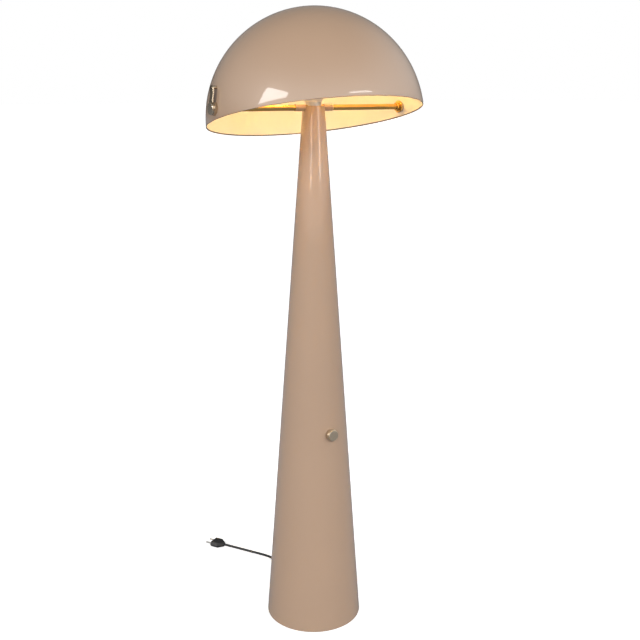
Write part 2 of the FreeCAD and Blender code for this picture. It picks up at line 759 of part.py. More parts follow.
def drop_at(turn):
    # one layer down in the half turn round each reversal
    drop = 0.0
    for k in range(1, coil_layers):
        share = min(max((turn - k * turns_per_layer) * 2 + 0.5, 0.0), 1.0)
        drop += turn_pitch * (1 - math.cos(math.pi * share)) / 2
    return drop


def drop_rate(turn):
    layer = turn / turns_per_layer
    reversal = 0 < turn < coil_turns and abs(layer - round(layer)) < 1e-6
    return turn_pitch * math.pi if reversal else 0.0


coil_start_angle = math.pi + math.atan(turn_pitch / (2 * math.pi * coil_outer_radius))
coil_centre = V(-coil_outer_radius * math.cos(coil_start_angle),
                coil_start_distance - coil_outer_radius * math.sin(coil_start_angle), 0)


def coil_point(turn):
    angle = coil_start_angle - 2 * math.pi * turn
    radius = coil_radius_at(turn)
    return coil_centre + V(radius * math.cos(angle), radius * math.sin(angle), gland_z - drop_at(turn))


def coil_heading(turn):
    angle = coil_start_angle - 2 * math.pi * turn
    outward = V(math.cos(angle), math.sin(angle), 0)
    along = V(math.sin(angle), -math.cos(angle), 0)
    heading = outward * radial_rate(turn) + along * (2 * math.pi * coil_radius_at(turn)) + V(0, 0, -drop_rate(turn))
    return heading.normalize()


def arc_from(start, heading, end):
    across = end - start
    length = across.Length
    across = across * (1 / length)
    side = heading - across * heading.dot(across)
    if side.Length < 1e-6:
        return Part.LineSegment(start, end).toShape()
    rise = length / 2 * math.tan(heading.getAngle(across) / 2)
    middle = (start + end) * 0.5 + side.normalize() * rise
    return Part.Arc(start, middle, end).toShape()


def biarc(start, start_heading, end, end_heading):
    gap = end - start
    together = start_heading + end_heading
    bend = 2 * (1 - start_heading.dot(end_heading))
    dot = gap.dot(together)
    reach = (-dot + math.sqrt(dot ** 2 + bend * gap.dot(gap))) / bend
    joint = (start + start_heading * reach + end - end_heading * reach) * 0.5
    joint_heading = (end - end_heading * reach - start - start_heading * reach).normalize()
    return [arc_from(start, start_heading, joint), arc_from(joint, joint_heading, end)]


def least_self_gap(path):
    step = cord_diameter / 6
    points = path.discretize(Distance=step)
    skip = int(4 * cord_diameter / step)
    least = min((points[i] - points[j]).Length for i in range(len(points)) for j in range(i + skip, len(points)))
    return least - cord_diameter


def make_coil():
    start = coil_point(0)
    end = coil_point(coil_turns)
    before = start - coil_heading(0) * cord_diameter
    after = end + coil_heading(coil_turns) * cord_diameter
    edges = [Part.LineSegment(before, start).toShape()]
    for i in range(4 * coil_turns):
        here = i / 4
        there = (i + 1) / 4
        edges += biarc(coil_point(here), coil_heading(here), coil_point(there), coil_heading(there))
    edges.append(Part.LineSegment(end, after).toShape())
    path = Part.Wire(edges)
    print("coil least gap to itself", round(least_self_gap(path), 2))
    parts["cord_coil"] = tube("cord_coil", path, cord_radius)
    return before, after


def make_tie():
    # a flat band round the bundle, on the side away from where the cord comes in and goes out
    inner_low = coil_outer_radius - turn_pitch * turns_per_layer + turn_pitch / 2 - cord_radius - tie_clearance
    inner_high = coil_outer_radius - turn_pitch / 2 + cord_radius + tie_clearance
    top = gland_z + cord_radius + tie_clearance / 5
    floor = floor_clearance
    half = tie_width / 2
    outer = box(V(inner_low - tie_thickness, -half, floor), V(inner_high + tie_thickness, half, top + tie_thickness))
    hole = box(V(inner_low, -half, floor + tie_thickness), V(inner_high, half, top))
    band = outer.cut(hole)
    band.translate(coil_centre)
    parts["coil_tie"] = band


def make_cord(boot_end):
    coil_in, coil_out = make_coil()
    make_tie()
    exit_path = Part.Wire([Part.LineSegment(V(0, boot_end, gland_z), coil_in).toShape()])
    parts["cord_exit"] = tube("cord_exit", exit_path, cord_radius)
    floor_z = cord_radius + floor_clearance
    first = coil_out + coil_heading(coil_turns) * lead_first_run
    points = [coil_out, first] + [V(x, y, floor_z) for x, y in floor_route]
    points += [at_plug_height(plug_approach), at_plug_height(plug_start)]
    radii = free_radii(points)
    print("free stretch radii", [round(r) for r in radii], "runs",
          [round((b - a).Length) for a, b in zip(points, points[1:])])
    parts["cord_lead"] = tube("cord_lead", rounded_path(points, radii), cord_radius)


def at_plug_height(place):
    return V(place[0], place[1], plug_thickness / 2 + floor_clearance)


def flat_hexagon(width, flat_width, thickness, along):
    half = thickness / 2
    outline = [(width / 2, 0), (flat_width / 2, half), (-flat_width / 2, half),
               (-width / 2, 0), (-flat_width / 2, -half), (flat_width / 2, -half)]
    points = [V(x, y, along) for x, y in outline]
    return Part.makePolygon(points + [points[0]])


def make_plug():
    ahead = (at_plug_height(plug_start) - at_plug_height(plug_approach)).normalize()
    across = ahead.cross(Z_AXIS)
    frame = FreeCAD.Placement(at_plug_height(plug_start), FreeCAD.Rotation(across, Z_AXIS * -1, ahead, "ZXY"))
    face = plug_taper_length + plug_head_length
    neck = flat_hexagon(plug_neck_width, plug_neck_flat_width, plug_neck_thickness, 0)
    shoulder = flat_hexagon(plug_width, plug_flat_width, plug_thickness, plug_taper_length)
    front = flat_hexagon(plug_width, plug_flat_width, plug_thickness, face)
    taper = Part.makeLoft([neck, shoulder], True, True)
    head = Part.makeLoft([shoulder, front], True, True)
    body = taper.fuse(head).removeSplitter()
    body.Placement = frame
    parts["plug_body"] = body
    radius = pin_diameter / 2
    pins = []
    for side in (-1, 1):
        base = V(side * pin_spacing / 2, 0, face)
        tip = base + V(0, 0, pin_length - radius)
        pin = rod(radius, base, tip).fuse(Part.makeSphere(radius, tip)).removeSplitter()
        pin.Placement = frame
        pins.append(pin)
    parts["plug_pins"] = Part.makeCompound(pins)


# ---------------------------------------------------------------- everything

def main():
    make_stem()
    make_foot()
    make_hub()
    make_bars()
    make_pivots()
    flex_end, contact_z, mouth = make_lampholder()
    make_bulb(contact_z, mouth)
    make_dimmer()
    make_dome()
    make_shade_pivots()
    make_stays()
    make_cap_nuts()
    boot_end = make_gland()
    make_clamp()
    make_inner_wiring(boot_end, flex_end)
    make_cord(boot_end)
    make_plug()
    os.makedirs("parts", exist_ok=True)
    for name, shape in parts.items():
        shape.exportStep(os.path.join("parts", name + ".step"))
    print(len(parts), "nodes")


main()
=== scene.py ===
"""Finished surfaces, cord and studio of the mushroom floor lamp, in metres, on the lamp's fixed frame."""

import json
import math

import bmesh
import bpy
from bpy.props import FloatProperty, FloatVectorProperty, IntProperty, PointerProperty
from mathutils import Matrix, Vector

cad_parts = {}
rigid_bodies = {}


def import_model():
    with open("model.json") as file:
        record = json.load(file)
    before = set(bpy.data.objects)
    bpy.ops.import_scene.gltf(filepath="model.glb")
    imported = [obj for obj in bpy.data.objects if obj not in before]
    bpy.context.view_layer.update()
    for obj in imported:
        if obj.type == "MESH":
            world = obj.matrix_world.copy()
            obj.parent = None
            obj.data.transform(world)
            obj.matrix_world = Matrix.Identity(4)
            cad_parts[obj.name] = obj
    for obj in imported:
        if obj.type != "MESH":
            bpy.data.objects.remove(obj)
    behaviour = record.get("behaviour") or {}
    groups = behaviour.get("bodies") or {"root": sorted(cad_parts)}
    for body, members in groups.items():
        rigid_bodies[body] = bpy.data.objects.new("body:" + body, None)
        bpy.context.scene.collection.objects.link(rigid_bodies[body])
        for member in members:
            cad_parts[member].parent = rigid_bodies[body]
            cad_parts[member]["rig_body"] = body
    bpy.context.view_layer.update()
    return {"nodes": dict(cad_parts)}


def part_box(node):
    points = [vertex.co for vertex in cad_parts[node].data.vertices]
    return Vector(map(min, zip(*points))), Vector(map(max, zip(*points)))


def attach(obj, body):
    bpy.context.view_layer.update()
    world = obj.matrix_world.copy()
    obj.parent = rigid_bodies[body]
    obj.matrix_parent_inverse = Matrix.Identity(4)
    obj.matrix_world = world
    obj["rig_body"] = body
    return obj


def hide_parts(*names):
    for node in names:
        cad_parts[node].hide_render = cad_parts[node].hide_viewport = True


bl_info = {
    "name": "Mushroom Floor Lamp",
    "version": (1, 0, 0),
    "blender": (4, 5, 0),
    "location": "3D View > Sidebar > Floor Lamp",
    "description": "Lacquered shade and stem, brass pivots, cord, bulb and studio for the floor lamp",
    "category": "Add Mesh",
}

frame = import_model()
nodes = frame["nodes"]


def middle_of(node):
    low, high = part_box(node)
    return [(a + b) / 2 for a, b in zip(low, high)]


bar_height = middle_of("cross_bar_left")[2]
stem_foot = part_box("stem_cone")[0][2]
stem_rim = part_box("stem_cone")[1][2]
cord_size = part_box("cord_exit")[1][2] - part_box("cord_exit")[0][2]
gland_height = middle_of("cord_exit")[2]
gland_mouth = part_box("cord_exit")[0][1]


# ---------------------------------------------------------------- sizes and colours a user may change


def length_of(name, description, default, low=0.0, high=10.0):
    return FloatProperty(name=name, description=description, default=default, min=low, max=high,
                         subtype="DISTANCE", unit="LENGTH", precision=4)


def angle_of(name, description, degrees):
    return FloatProperty(name=name, description=description, default=math.radians(degrees),
                         subtype="ANGLE", unit="ROTATION")


def colour_of(name, description, default):
    return FloatVectorProperty(name=name, description=description, default=default, size=3,
                               min=0.0, max=1.0, subtype="COLOR")


def power_of(name, description, default):
    return FloatProperty(name=name, description=description, default=default, min=0.0, subtype="FACTOR",
                         soft_max=100.0)


class ShadeSizes(bpy.types.PropertyGroup):
    radius: length_of("Radius", "Outside of the spun dome", 0.225)
    wall: length_of("Wall", "Thickness of the spun metal", 0.0015)
    centre_drop: length_of("Centre drop", "From the bar down to the middle of the sphere", 0.026)
    rim_drop: length_of("Rim drop", "From the bar down to the plane of the rim", 0.021)
    rim_rounding: length_of("Rim rounding", "Radius on both edges of the rim", 0.00062)
    # The rim band is a narrow dark brown band just inside the rim: painted shade along the rim line.
    rim_shade_band: length_of("Rim band", "Height of the dark edge left inside the rim", 0.0024)
    tilt: angle_of("Tilt", "Lean of the shade about the bar, crown to the back", -12.0)
    pivot_hole: length_of("Pivot hole", "Radius of the hole for the bush", 0.0061)
    stay_hole: length_of("Stay hole", "Radius of the hole for the stay's screw", 0.0016)
    stay_height: length_of("Stay screw height", "From the bar up to the stay's screw", 0.041)
    segments: IntProperty(name="Segments", description="Faces round the dome", default=256, min=64, max=512)
    steps: IntProperty(name="Steps", description="Faces from crown to rim", default=72, min=16, max=256)


class StemSizes(bpy.types.PropertyGroup):
    height: length_of("Height", "Height over which the cone tapers", 1.160)
    foot_radius: length_of("Foot radius", "Radius of the cone on the floor", 0.108)
    top_radius: length_of("Top radius", "Radius of the cone at its top", 0.023)
    wall: length_of("Wall", "Thickness of the rolled cone", 0.0015)
    edge_rounding: length_of("Edge rounding", "Radius on the foot's edge", 0.0006)
    knob_height: length_of("Knob height", "Height of the dimmer's hole", 0.460)
    knob_hole: length_of("Knob hole", "Radius of the dimmer's hole", 0.0051)
    gland_hole: length_of("Gland hole", "Radius of the cord gland's hole", 0.0061)
    bar_slot: length_of("Bar slot", "Half width of the slots for the bar", 0.0061)
    segments: IntProperty(name="Segments", description="Faces round the cone", default=192, min=48, max=512)
    steps: IntProperty(name="Steps", description="Faces from foot to top", default=110, min=8, max=256)


class CordSizes(bpy.types.PropertyGroup):
    diameter: length_of("Diameter", "Outside of the round sheath", round(cord_size, 5))
    length: length_of("Length", "From the gland to the plug", 1.94)
    turn_radius: length_of("Turn radius", "Middle radius of the coil's outer turns", 0.0397)
    pitch: length_of("Pitch", "From one turn to the next", 0.0066)
    turns: IntProperty(name="Turns", description="Turns in the coil", default=8, min=2, max=20)
    points: IntProperty(name="Points per turn", description="Control points in one turn", default=24, min=12, max=48)


class FinishColours(bpy.types.PropertyGroup):
    lacquer: colour_of("Lacquer", "Outside of shade and stem", (0.454, 0.313, 0.215))
    inside: colour_of("Inside", "Reflecting paint inside the shade", (0.93, 0.91, 0.84))
    bright_brass: colour_of("Bright brass", "Bar and flanges", (0.68, 0.42, 0.13))
    pale_brass: colour_of("Pale brass", "Bosses, stays, cap nuts and knob", (0.62, 0.51, 0.37))
    glow: colour_of("Glow", "Light of the bulb", (1.0, 0.569, 0.152))
    glow_strength: power_of("Glow strength", "Brightness of the bulb's globe", 64.5)


class StudioSettings(bpy.types.PropertyGroup):
    front: power_of("Front", "Brightness of the studio before the lamp", 2.178)
    back: power_of("Back", "Brightness of the studio behind the lamp", 0.246)
    ceiling: power_of("Ceiling", "Brightness straight above, as a part of the rest", 0.110)
    horizon: power_of("Horizon", "Brightness along the horizon, as a part of the rest", 0.478)
    side_fill: power_of("Side fill", "Brightness of the light added on the right", 0.450)
    front_side: angle_of("Front side", "Azimuth of the brightest part of the studio, to the left", 21.3)
    floor_shade: power_of("Floor shade", "How much light the floor returns to the lamp", 0.407)
    backdrop: power_of("Backdrop", "Brightness of the backdrop in the picture", 1.0)
    large_box: power_of("Large softbox", "Brightness of the box on the left", 12.0)
    strip_box: power_of("Strip boxes", "Brightness of the narrow boxes", 12.0)
    lens: FloatProperty(name="Lens", description="Focal length in millimetres", default=51.69, min=10, max=200)
    camera_place: FloatVectorProperty(name="Camera", description="Place of the camera", size=3, subtype="TRANSLATION",
                                      unit="LENGTH", precision=4, default=(-0.9989622, -1.674761, 1.1979475))
    camera_yaw: angle_of("Yaw", "Turn of the camera towards the right", math.degrees(0.545))
    camera_pitch: angle_of("Pitch", "Lift of the camera's view", math.degrees(-0.2487))
    camera_roll: angle_of("Roll", "Lean of the camera", math.degrees(0.0017))


GROUPS = {"shade": ShadeSizes, "stem": StemSizes, "cord": CordSizes, "finish": FinishColours,
          "studio": StudioSettings}


def settings(name):
    return getattr(bpy.context.scene, "lamp_" + name)


# ---------------------------------------------------------------- shared surface effects


def surface_effect(name, gloss, gloss_change, *inputs):
    """A shader group with these inputs, which gives a colour, a roughness and a height."""
    tree = bpy.data.node_groups.new(name, "ShaderNodeTree")
    tree.interface.new_socket("Vector", in_out="INPUT", socket_type="NodeSocketVector")
    for label, kind, value in (*inputs, ("Gloss", "Float", gloss), ("Gloss Change", "Float", gloss_change)):
        tree.interface.new_socket(label, in_out="INPUT", socket_type="NodeSocket" + kind).default_value = value
    for label, kind in (("Colour", "Color"), ("Roughness", "Float"), ("Height", "Float")):
        tree.interface.new_socket(label, in_out="OUTPUT", socket_type="NodeSocket" + kind)
    return tree, tree.nodes.new("NodeGroupInput").outputs, tree.nodes.new("NodeGroupOutput").inputs


def feed(tree, socket, value):
    """Gives a socket a plain value, or links another socket to it."""
    if isinstance(value, bpy.types.NodeSocket):
        tree.links.new(value, socket)
    else:
        socket.default_value = value


def noise(tree, vector, scale, detail, rough=0.5):
    node = tree.nodes.new("ShaderNodeTexNoise")
    for label, value in (("Vector", vector), ("Scale", scale), ("Detail", detail), ("Roughness", rough)):
        feed(tree, node.inputs[label], value)
    return node.outputs["Fac"]


def ramp(tree, value, low, high, to_low=0.0, to_high=1.0):
    node = tree.nodes.new("ShaderNodeMapRange")
    node.interpolation_type = "SMOOTHSTEP"
    for label, number in (("Value", value), ("From Min", low), ("From Max", high), ("To Min", to_low),
                          ("To Max", to_high)):
        feed(tree, node.inputs[label], number)
    return node.outputs["Result"]


def combined(tree, kind, a, b):
    node = tree.nodes.new("ShaderNodeMath")
    node.operation = kind
    for socket, value in zip(node.inputs, (a, b)):
        feed(tree, socket, value)
    return node.outputs[0]


def product(tree, a, b):
    return combined(tree, "MULTIPLY", a, b)


def total(tree, a, b):
    return combined(tree, "ADD", a, b)


def mixed(tree, amount, a, b):
    """The colour that lies this far from one colour to another."""
    node = tree.nodes.new("ShaderNodeMix")
    node.data_type = "RGBA"
    colours = [socket for socket in node.inputs if socket.type == "RGBA"]
    for socket, value in zip((node.inputs["Factor"], *colours), (amount, a, b)):
        tree.links.new(value, socket)
    return next(socket for socket in node.outputs if socket.type == "RGBA")


def vary_gloss(tree, given, out, share):
    """A roughness that rises from the gloss by a share of its change."""
    tree.links.new(total(tree, given["Gloss"], product(tree, share, given["Gloss Change"])), out["Roughness"])


def build_sprayed_coat():
    """Sprayed paint: slow clouds in its colour, a gloss that varies, and the fine swell of orange peel."""
    tree, given, out = surface_effect(
        "sprayed_coat", 0.2, 0.1,
        ("Colour", "Color", (0.5, 0.5, 0.5, 1)), ("Cloud Colour", "Color", (0.5, 0.5, 0.5, 1)),
        ("Cloud Scale", "Float", 5.0), ("Peel Scale", "Float", 260.0))
    cloud = ramp(tree, noise(tree, given["Vector"], given["Cloud Scale"], 2.0), 0.35, 0.68)
    tree.links.new(mixed(tree, cloud, given["Colour"], given["Cloud Colour"]), out["Colour"])
    vary_gloss(tree, given, out, ramp(tree, noise(tree, given["Vector"], 38.0, 4.0, 0.6), 0.3, 0.75))
    swell = noise(tree, given["Vector"], given["Peel Scale"], 1.0)
    dust = ramp(tree, noise(tree, given["Vector"], 900.0, 0.0), 0.72, 0.82, 0.0, 0.35)
    tree.links.new(total(tree, swell, dust), out["Height"])


def build_turned_metal():
    """Turned or drawn metal: fine marks along one direction, tarnish in clouds and a few hairline scratches."""
    tree, given, out = surface_effect(
        "turned_metal", 0.2, 0.15,
        ("Colour", "Color", (0.8, 0.6, 0.3, 1)), ("Tarnish", "Color", (0.4, 0.28, 0.12, 1)),
        ("Tarnish Amount", "Float", 0.25), ("Mark Stretch", "Vector", (1, 1, 1)), ("Mark Scale", "Float", 900.0))
    stretch = tree.nodes.new("ShaderNodeVectorMath")
    stretch.operation = "MULTIPLY"
    tree.links.new(given["Vector"], stretch.inputs[0])
    tree.links.new(given["Mark Stretch"], stretch.inputs[1])
    marks = noise(tree, stretch.outputs[0], given["Mark Scale"], 2.0, 0.6)
    patch = ramp(tree, noise(tree, given["Vector"], 70.0, 4.0, 0.62), 0.42, 0.78)
    tarnish = total(tree, product(tree, patch, given["Tarnish Amount"]), ramp(tree, marks, 0.4, 0.7, 0.0, 0.12))
    tree.links.new(mixed(tree, tarnish, given["Colour"], given["Tarnish"]), out["Colour"])
    vary_gloss(tree, given, out, total(tree, product(tree, patch, 0.6), product(tree, marks, 0.4)))
    scratch = tree.nodes.new("ShaderNodeTexVoronoi")
    scratch.feature = "DISTANCE_TO_EDGE"
    scratch.inputs["Scale"].default_value = 55.0
    tree.links.new(given["Vector"], scratch.inputs["Vector"])
    line = ramp(tree, scratch.outputs["Distance"], 0.0, 0.012, -0.5, 0.0)
    tree.links.new(total(tree, marks, line), out["Height"])


def build_moulded_skin():
    """Moulded plastic or rubber: a fine grain, a slow change of gloss, and dust that settles in the grain."""
    tree, given, out = surface_effect(
        "moulded_skin", 0.4, 0.2,
        ("Colour", "Color", (0.02, 0.02, 0.02, 1)), ("Dust", "Color", (0.2, 0.19, 0.18, 1)),
        ("Dust Amount", "Float", 0.08), ("Grain Scale", "Float", 1400.0))
    grain = noise(tree, given["Vector"], given["Grain Scale"], 2.0)
    slow = noise(tree, given["Vector"], 22.0, 4.0, 0.6)
    settled = product(tree, ramp(tree, slow, 0.4, 0.75), given["Dust Amount"])
    specks = product(tree, ramp(tree, grain, 0.3, 0.45, 1.0, 0.0), settled)
    dust = total(tree, product(tree, settled, 0.5), specks)
    tree.links.new(mixed(tree, dust, given["Colour"], given["Dust"]), out["Colour"])
    vary_gloss(tree, given, out, slow)
    tree.links.new(grain, out["Height"])


# ---------------------------------------------------------------- finishes


def rgba(colour, factor=1.0):
    return tuple(min(1.0, c * factor) for c in colour) + (1.0,)


def finish(name, effect, values, bump, **constants):
    """A material whose colour, gloss and relief come from a shared effect, with every plain number on its shader."""
    material = bpy.data.materials.new(name)
    material.use_nodes = True
    tree = material.node_tree
    shader = tree.nodes["Principled BSDF"]
    group = tree.nodes.new("ShaderNodeGroup")
    group.node_tree = bpy.data.node_groups[effect]
    for node, numbers in ((shader, constants), (group, values)):
        for label, value in numbers.items():
            node.inputs[label.replace("_", " ")].default_value = value
    relief = tree.nodes.new("ShaderNodeBump")
    relief.inputs["Strength"].default_value, relief.inputs["Distance"].default_value = bump
    for source, socket in (
            (tree.nodes.new("ShaderNodeTexCoord").outputs["Object"], group.inputs["Vector"]),
            (group.outputs["Colour"], shader.inputs["Base Color"]),
            (group.outputs["Roughness"], shader.inputs["Roughness"]),
            (group.outputs["Height"], relief.inputs["Height"]),
            (relief.outputs["Normal"], shader.inputs["Normal"])):
        tree.links.new(source, socket)


def build_lacquers(colours):
    lacquer = tuple(colours.lacquer)
    finish("taupe_lacquer", "sprayed_coat",
           dict(Colour=rgba(lacquer), Cloud_Colour=rgba(lacquer, 0.975), Cloud_Scale=4.0, Peel_Scale=210.0, Gloss=0.30,
                Gloss_Change=0.06),
           bump=(0.08, 0.0002), IOR=1.5, Specular_IOR_Level=0.22, Coat_Weight=1.0, Coat_Roughness=0.045, Coat_IOR=1.5)
    inside = tuple(colours.inside)
    finish("reflector_paint", "sprayed_coat",
           dict(Colour=rgba(inside), Cloud_Colour=rgba(inside, 0.97), Cloud_Scale=6.0, Peel_Scale=320.0, Gloss=0.42,
                Gloss_Change=0.12),
           bump=(0.12, 0.0002), IOR=1.45)
    # A dark brown for the rim's end and the narrow band just inside it: painted shade that stands in for the dark line
    # along the rim.
    finish("rim_edge", "sprayed_coat",
           dict(Colour=(0.105, 0.068, 0.038, 1), Cloud_Colour=(0.085, 0.055, 0.030, 1), Cloud_Scale=30.0,
                Peel_Scale=320.0, Gloss=0.35, Gloss_Change=0.1),
           bump=(0.1, 0.0001), IOR=1.5)
    finish("iron_paint", "sprayed_coat",
           dict(Colour=(0.018, 0.018, 0.019, 1), Cloud_Colour=(0.032, 0.030, 0.029, 1), Cloud_Scale=14.0,
                Peel_Scale=160.0, Gloss=0.48, Gloss_Change=0.2),
           bump=(0.5, 0.0004), IOR=1.5)


def build_metals(colours):
    bright, pale = tuple(colours.bright_brass), tuple(colours.pale_brass)
    across, upright = (1.0, 60.0, 60.0), (60.0, 60.0, 1.0)
    for name, colour, tarnish, amount, stretch, gloss, change in (
            ("bright_brass", bright, rgba(bright, 0.75), 0.22, across, 0.08, 0.04),
            ("pale_brass", pale, rgba(pale, 0.85), 0.33, (30.0, 1.0, 1.0), 0.10, 0.03),
            ("brushed_knob_brass", pale, rgba(pale, 0.72), 0.18, (1.0, 30.0, 1.0), 0.26, 0.12),
            ("holder_brass", (0.80, 0.58, 0.26), (0.36, 0.22, 0.09, 1), 0.30, upright, 0.26, 0.15),
            ("nickel_plate", (0.70, 0.68, 0.64), (0.42, 0.39, 0.35, 1), 0.18, upright, 0.18, 0.12),
            ("zinc_plate", (0.62, 0.63, 0.65), (0.36, 0.36, 0.37, 1), 0.45, (1.0, 1.0, 1.0), 0.33, 0.20),
            ("dark_screw", (0.115, 0.095, 0.080), (0.05, 0.04, 0.034, 1), 0.4, (1.0, 1.0, 1.0), 0.30, 0.2)):
        finish(name, "turned_metal",
               dict(Colour=rgba(colour), Tarnish=tarnish, Tarnish_Amount=amount, Mark_Stretch=stretch,
                    Mark_Scale=520.0, Gloss=gloss, Gloss_Change=change),
               bump=(0.10, 0.00008), Metallic=1.0)


def build_plastics(colours):
    for name, colour, gloss, change, grain, depth, extra in (
            ("foot_rubber", (0.020, 0.020, 0.021), 0.62, 0.2, 900.0, 0.00012, {}),
            ("black_plastic", (0.017, 0.017, 0.018), 0.34, 0.18, 1500.0, 0.00006, {}),
            ("cord_sheath", (0.014, 0.014, 0.015), 0.33, 0.16, 1100.0, 0.00006, {}),
            ("grey_nylon", (0.46, 0.42, 0.35), 0.42, 0.14, 1200.0, 0.00005, dict(Subsurface_Weight=0.05)),
            ("holder_thermoplastic", (0.80, 0.77, 0.71), 0.30, 0.14, 1300.0, 0.00005, {}),
            ("bulb_housing", (0.84, 0.82, 0.78), 0.36, 0.12, 1300.0, 0.00004, {}),
            ("bulb_board", (0.66, 0.68, 0.66), 0.40, 0.15, 700.0, 0.00005, {}),
            ("clear_sheath", (0.62, 0.56, 0.46), 0.22, 0.12, 900.0, 0.00005,
             dict(Coat_Weight=0.6, Coat_Roughness=0.08, Subsurface_Weight=0.1))):
        finish(name, "moulded_skin",
               dict(Colour=rgba(colour), Gloss=gloss, Gloss_Change=change, Grain_Scale=grain,
                    Dust=rgba(tuple(c * 0.8 + 0.10 for c in colour)), Dust_Amount=0.10),
               bump=(0.25, depth), **extra)
    finish("opal_globe", "moulded_skin",
           dict(Colour=(0.93, 0.90, 0.84, 1), Gloss=0.28, Gloss_Change=0.1, Grain_Scale=1500.0, Dust_Amount=0.02,
                Dust=(0.8, 0.76, 0.68, 1)),
           bump=(0.1, 0.00003), Emission_Color=rgba(tuple(colours.glow)), Emission_Strength=colours.glow_strength)


def build_grooved_rubber():
    """The foot pad's underside has fine rings about its middle, so its rubber gets them over the moulded grain."""
    material = bpy.data.materials["foot_rubber"]
    tree = material.node_tree
    place = next(n for n in tree.nodes if n.type == "TEX_COORD")
    relief = next(n for n in tree.nodes if n.type == "BUMP")
    rings = tree.nodes.new("ShaderNodeTexWave")
    rings.wave_type, rings.rings_direction, rings.wave_profile = "RINGS", "Z", "SIN"
    rings.inputs["Scale"].default_value = 42.0
    tree.links.new(place.outputs["Object"], rings.inputs["Vector"])
    grooves = tree.nodes.new("ShaderNodeBump")
    grooves.inputs["Strength"].default_value, grooves.inputs["Distance"].default_value = 0.5, 0.0008
    tree.links.new(ramp(tree, rings.outputs["Fac"], 0.1, 0.4), grooves.inputs["Height"])
    tree.links.new(relief.outputs["Normal"], grooves.inputs["Normal"])
    tree.links.new(grooves.outputs["Normal"], tree.nodes["Principled BSDF"].inputs["Normal"])


NODE_FINISHES = {
    "taupe_lacquer": ["stem_cone", "head_cover", "collar_left", "collar_right", "shade_dome"],
    "bright_brass": ["cross_bar_left", "cross_bar_right", "pivot_flange_left", "pivot_flange_right"],
    "pale_brass": ["pivot_boss_left", "pivot_boss_right", "stay_left", "stay_right", "stay_post_left",
                   "stay_post_right", "cap_nut_left", "cap_nut_right"],
    "brushed_knob_brass": ["dimmer_knob", "dimmer_knob_cap"],
    "iron_paint": ["base_weight"],
    "zinc_plate": ["stem_foot_ring", "base_screws", "head_hub", "lampholder_nipple", "nipple_nut", "clamp_screws",
                   "dimmer_nut", "stay_nuts"],
    "dark_screw": ["stay_screws"],
    "foot_rubber": ["foot_pad"],
    "black_plastic": ["dimmer_module", "cable_gland", "gland_nut", "cable_clamp", "plug_body", "coil_tie"],
    "cord_sheath": ["supply_cable", "cord_exit", "cord_coil", "cord_lead"],
    "grey_nylon": ["friction_washer_left", "friction_washer_right", "shade_bush_left", "shade_bush_right",
                   "dimmer_washer", "dimmer_shaft"],
    "holder_thermoplastic": ["lampholder_cap", "lampholder_insulator", "lampholder_shell"],
    "holder_brass": ["lampholder_screw_shell", "lampholder_contact"],
    "opal_globe": ["bulb_globe"],
    "bulb_housing": ["bulb_body", "bulb_tip_insulator", "bulb_driver"],
    "bulb_board": ["bulb_led_plate"],
    "nickel_plate": ["bulb_cap", "bulb_contact", "plug_pins"],
    "clear_sheath": ["lamp_flex"],
}


def finish_of(node):
    return next(name for name, members in NODE_FINISHES.items() if node in members)


# ---------------------------------------------------------------- making pieces


def new_piece(name, data, *materials):
    piece = bpy.data.objects.new(name, data)
    bpy.context.scene.collection.objects.link(piece)
    for material in materials:
        data.materials.append(bpy.data.materials[material])
    return piece


def mesh_of(name, places, faces):
    mesh = bpy.data.meshes.new(name)
    mesh.from_pydata([tuple(place) for place in places], [], faces)
    return mesh


def smooth(mesh, degrees):
    """Smooth shading, with every edge sharper than this kept sharp."""
    mesh.shade_smooth()
    mesh.set_sharp_from_angle(angle=math.radians(degrees))


def arc(radius, height, first, last, steps):
    """Points of (radius, height) along a circle about the point of the axis at this height."""
    return [(radius * math.cos(a), height + radius * math.sin(a))
            for a in (first + (last - first) * k / steps for k in range(steps + 1))]


def open_ball(radius, wall, centre, rim, steps):
    """A ball's wall, cut off this far above its middle: the run down the outside and the run up the inside."""
    inner = radius - wall
    outside = arc(radius, centre, math.pi / 2, math.asin(rim / radius), steps)
    inside = arc(inner, centre, math.asin(rim / inner), math.pi / 2, steps)
    outside[0], inside[-1] = (0.0, outside[0][1]), (0.0, inside[-1][1])
    return outside, inside


def rounded(corners, radii, steps=6):
    """The corners of an open outline, each with a radius above 0 turned into an arc of short steps."""
    line = []
    for i, (corner, radius) in enumerate(zip(corners, radii)):
        here = Vector(corner)
        if radius <= 0 or i in (0, len(corners) - 1):
            line.append(here)
            continue
        before, after = (Vector(corners[i - 1]) - here).normalized(), (Vector(corners[i + 1]) - here).normalized()
        half = before.angle(after) / 2
        reach = radius / math.tan(half)
        centre = here + (before + after).normalized() * (radius / math.sin(half))
        start, end = here + before * reach - centre, here + after * reach - centre
        turn = start.angle_signed(end)
        for k in range(steps + 1):
            a = -turn * k / steps
            line.append(centre + Vector((start.x * math.cos(a) - start.y * math.sin(a),
                                         start.x * math.sin(a) + start.y * math.cos(a))))
    return line


def rounded_rim(down, up, radius, steps=6):
    """One outline of a run down and a run up, with the two corners between them rounded."""
    radii = [0.0] * (len(down) + len(up))
    radii[len(down) - 1] = radii[len(down)] = radius
    return rounded(down + up, radii, steps)


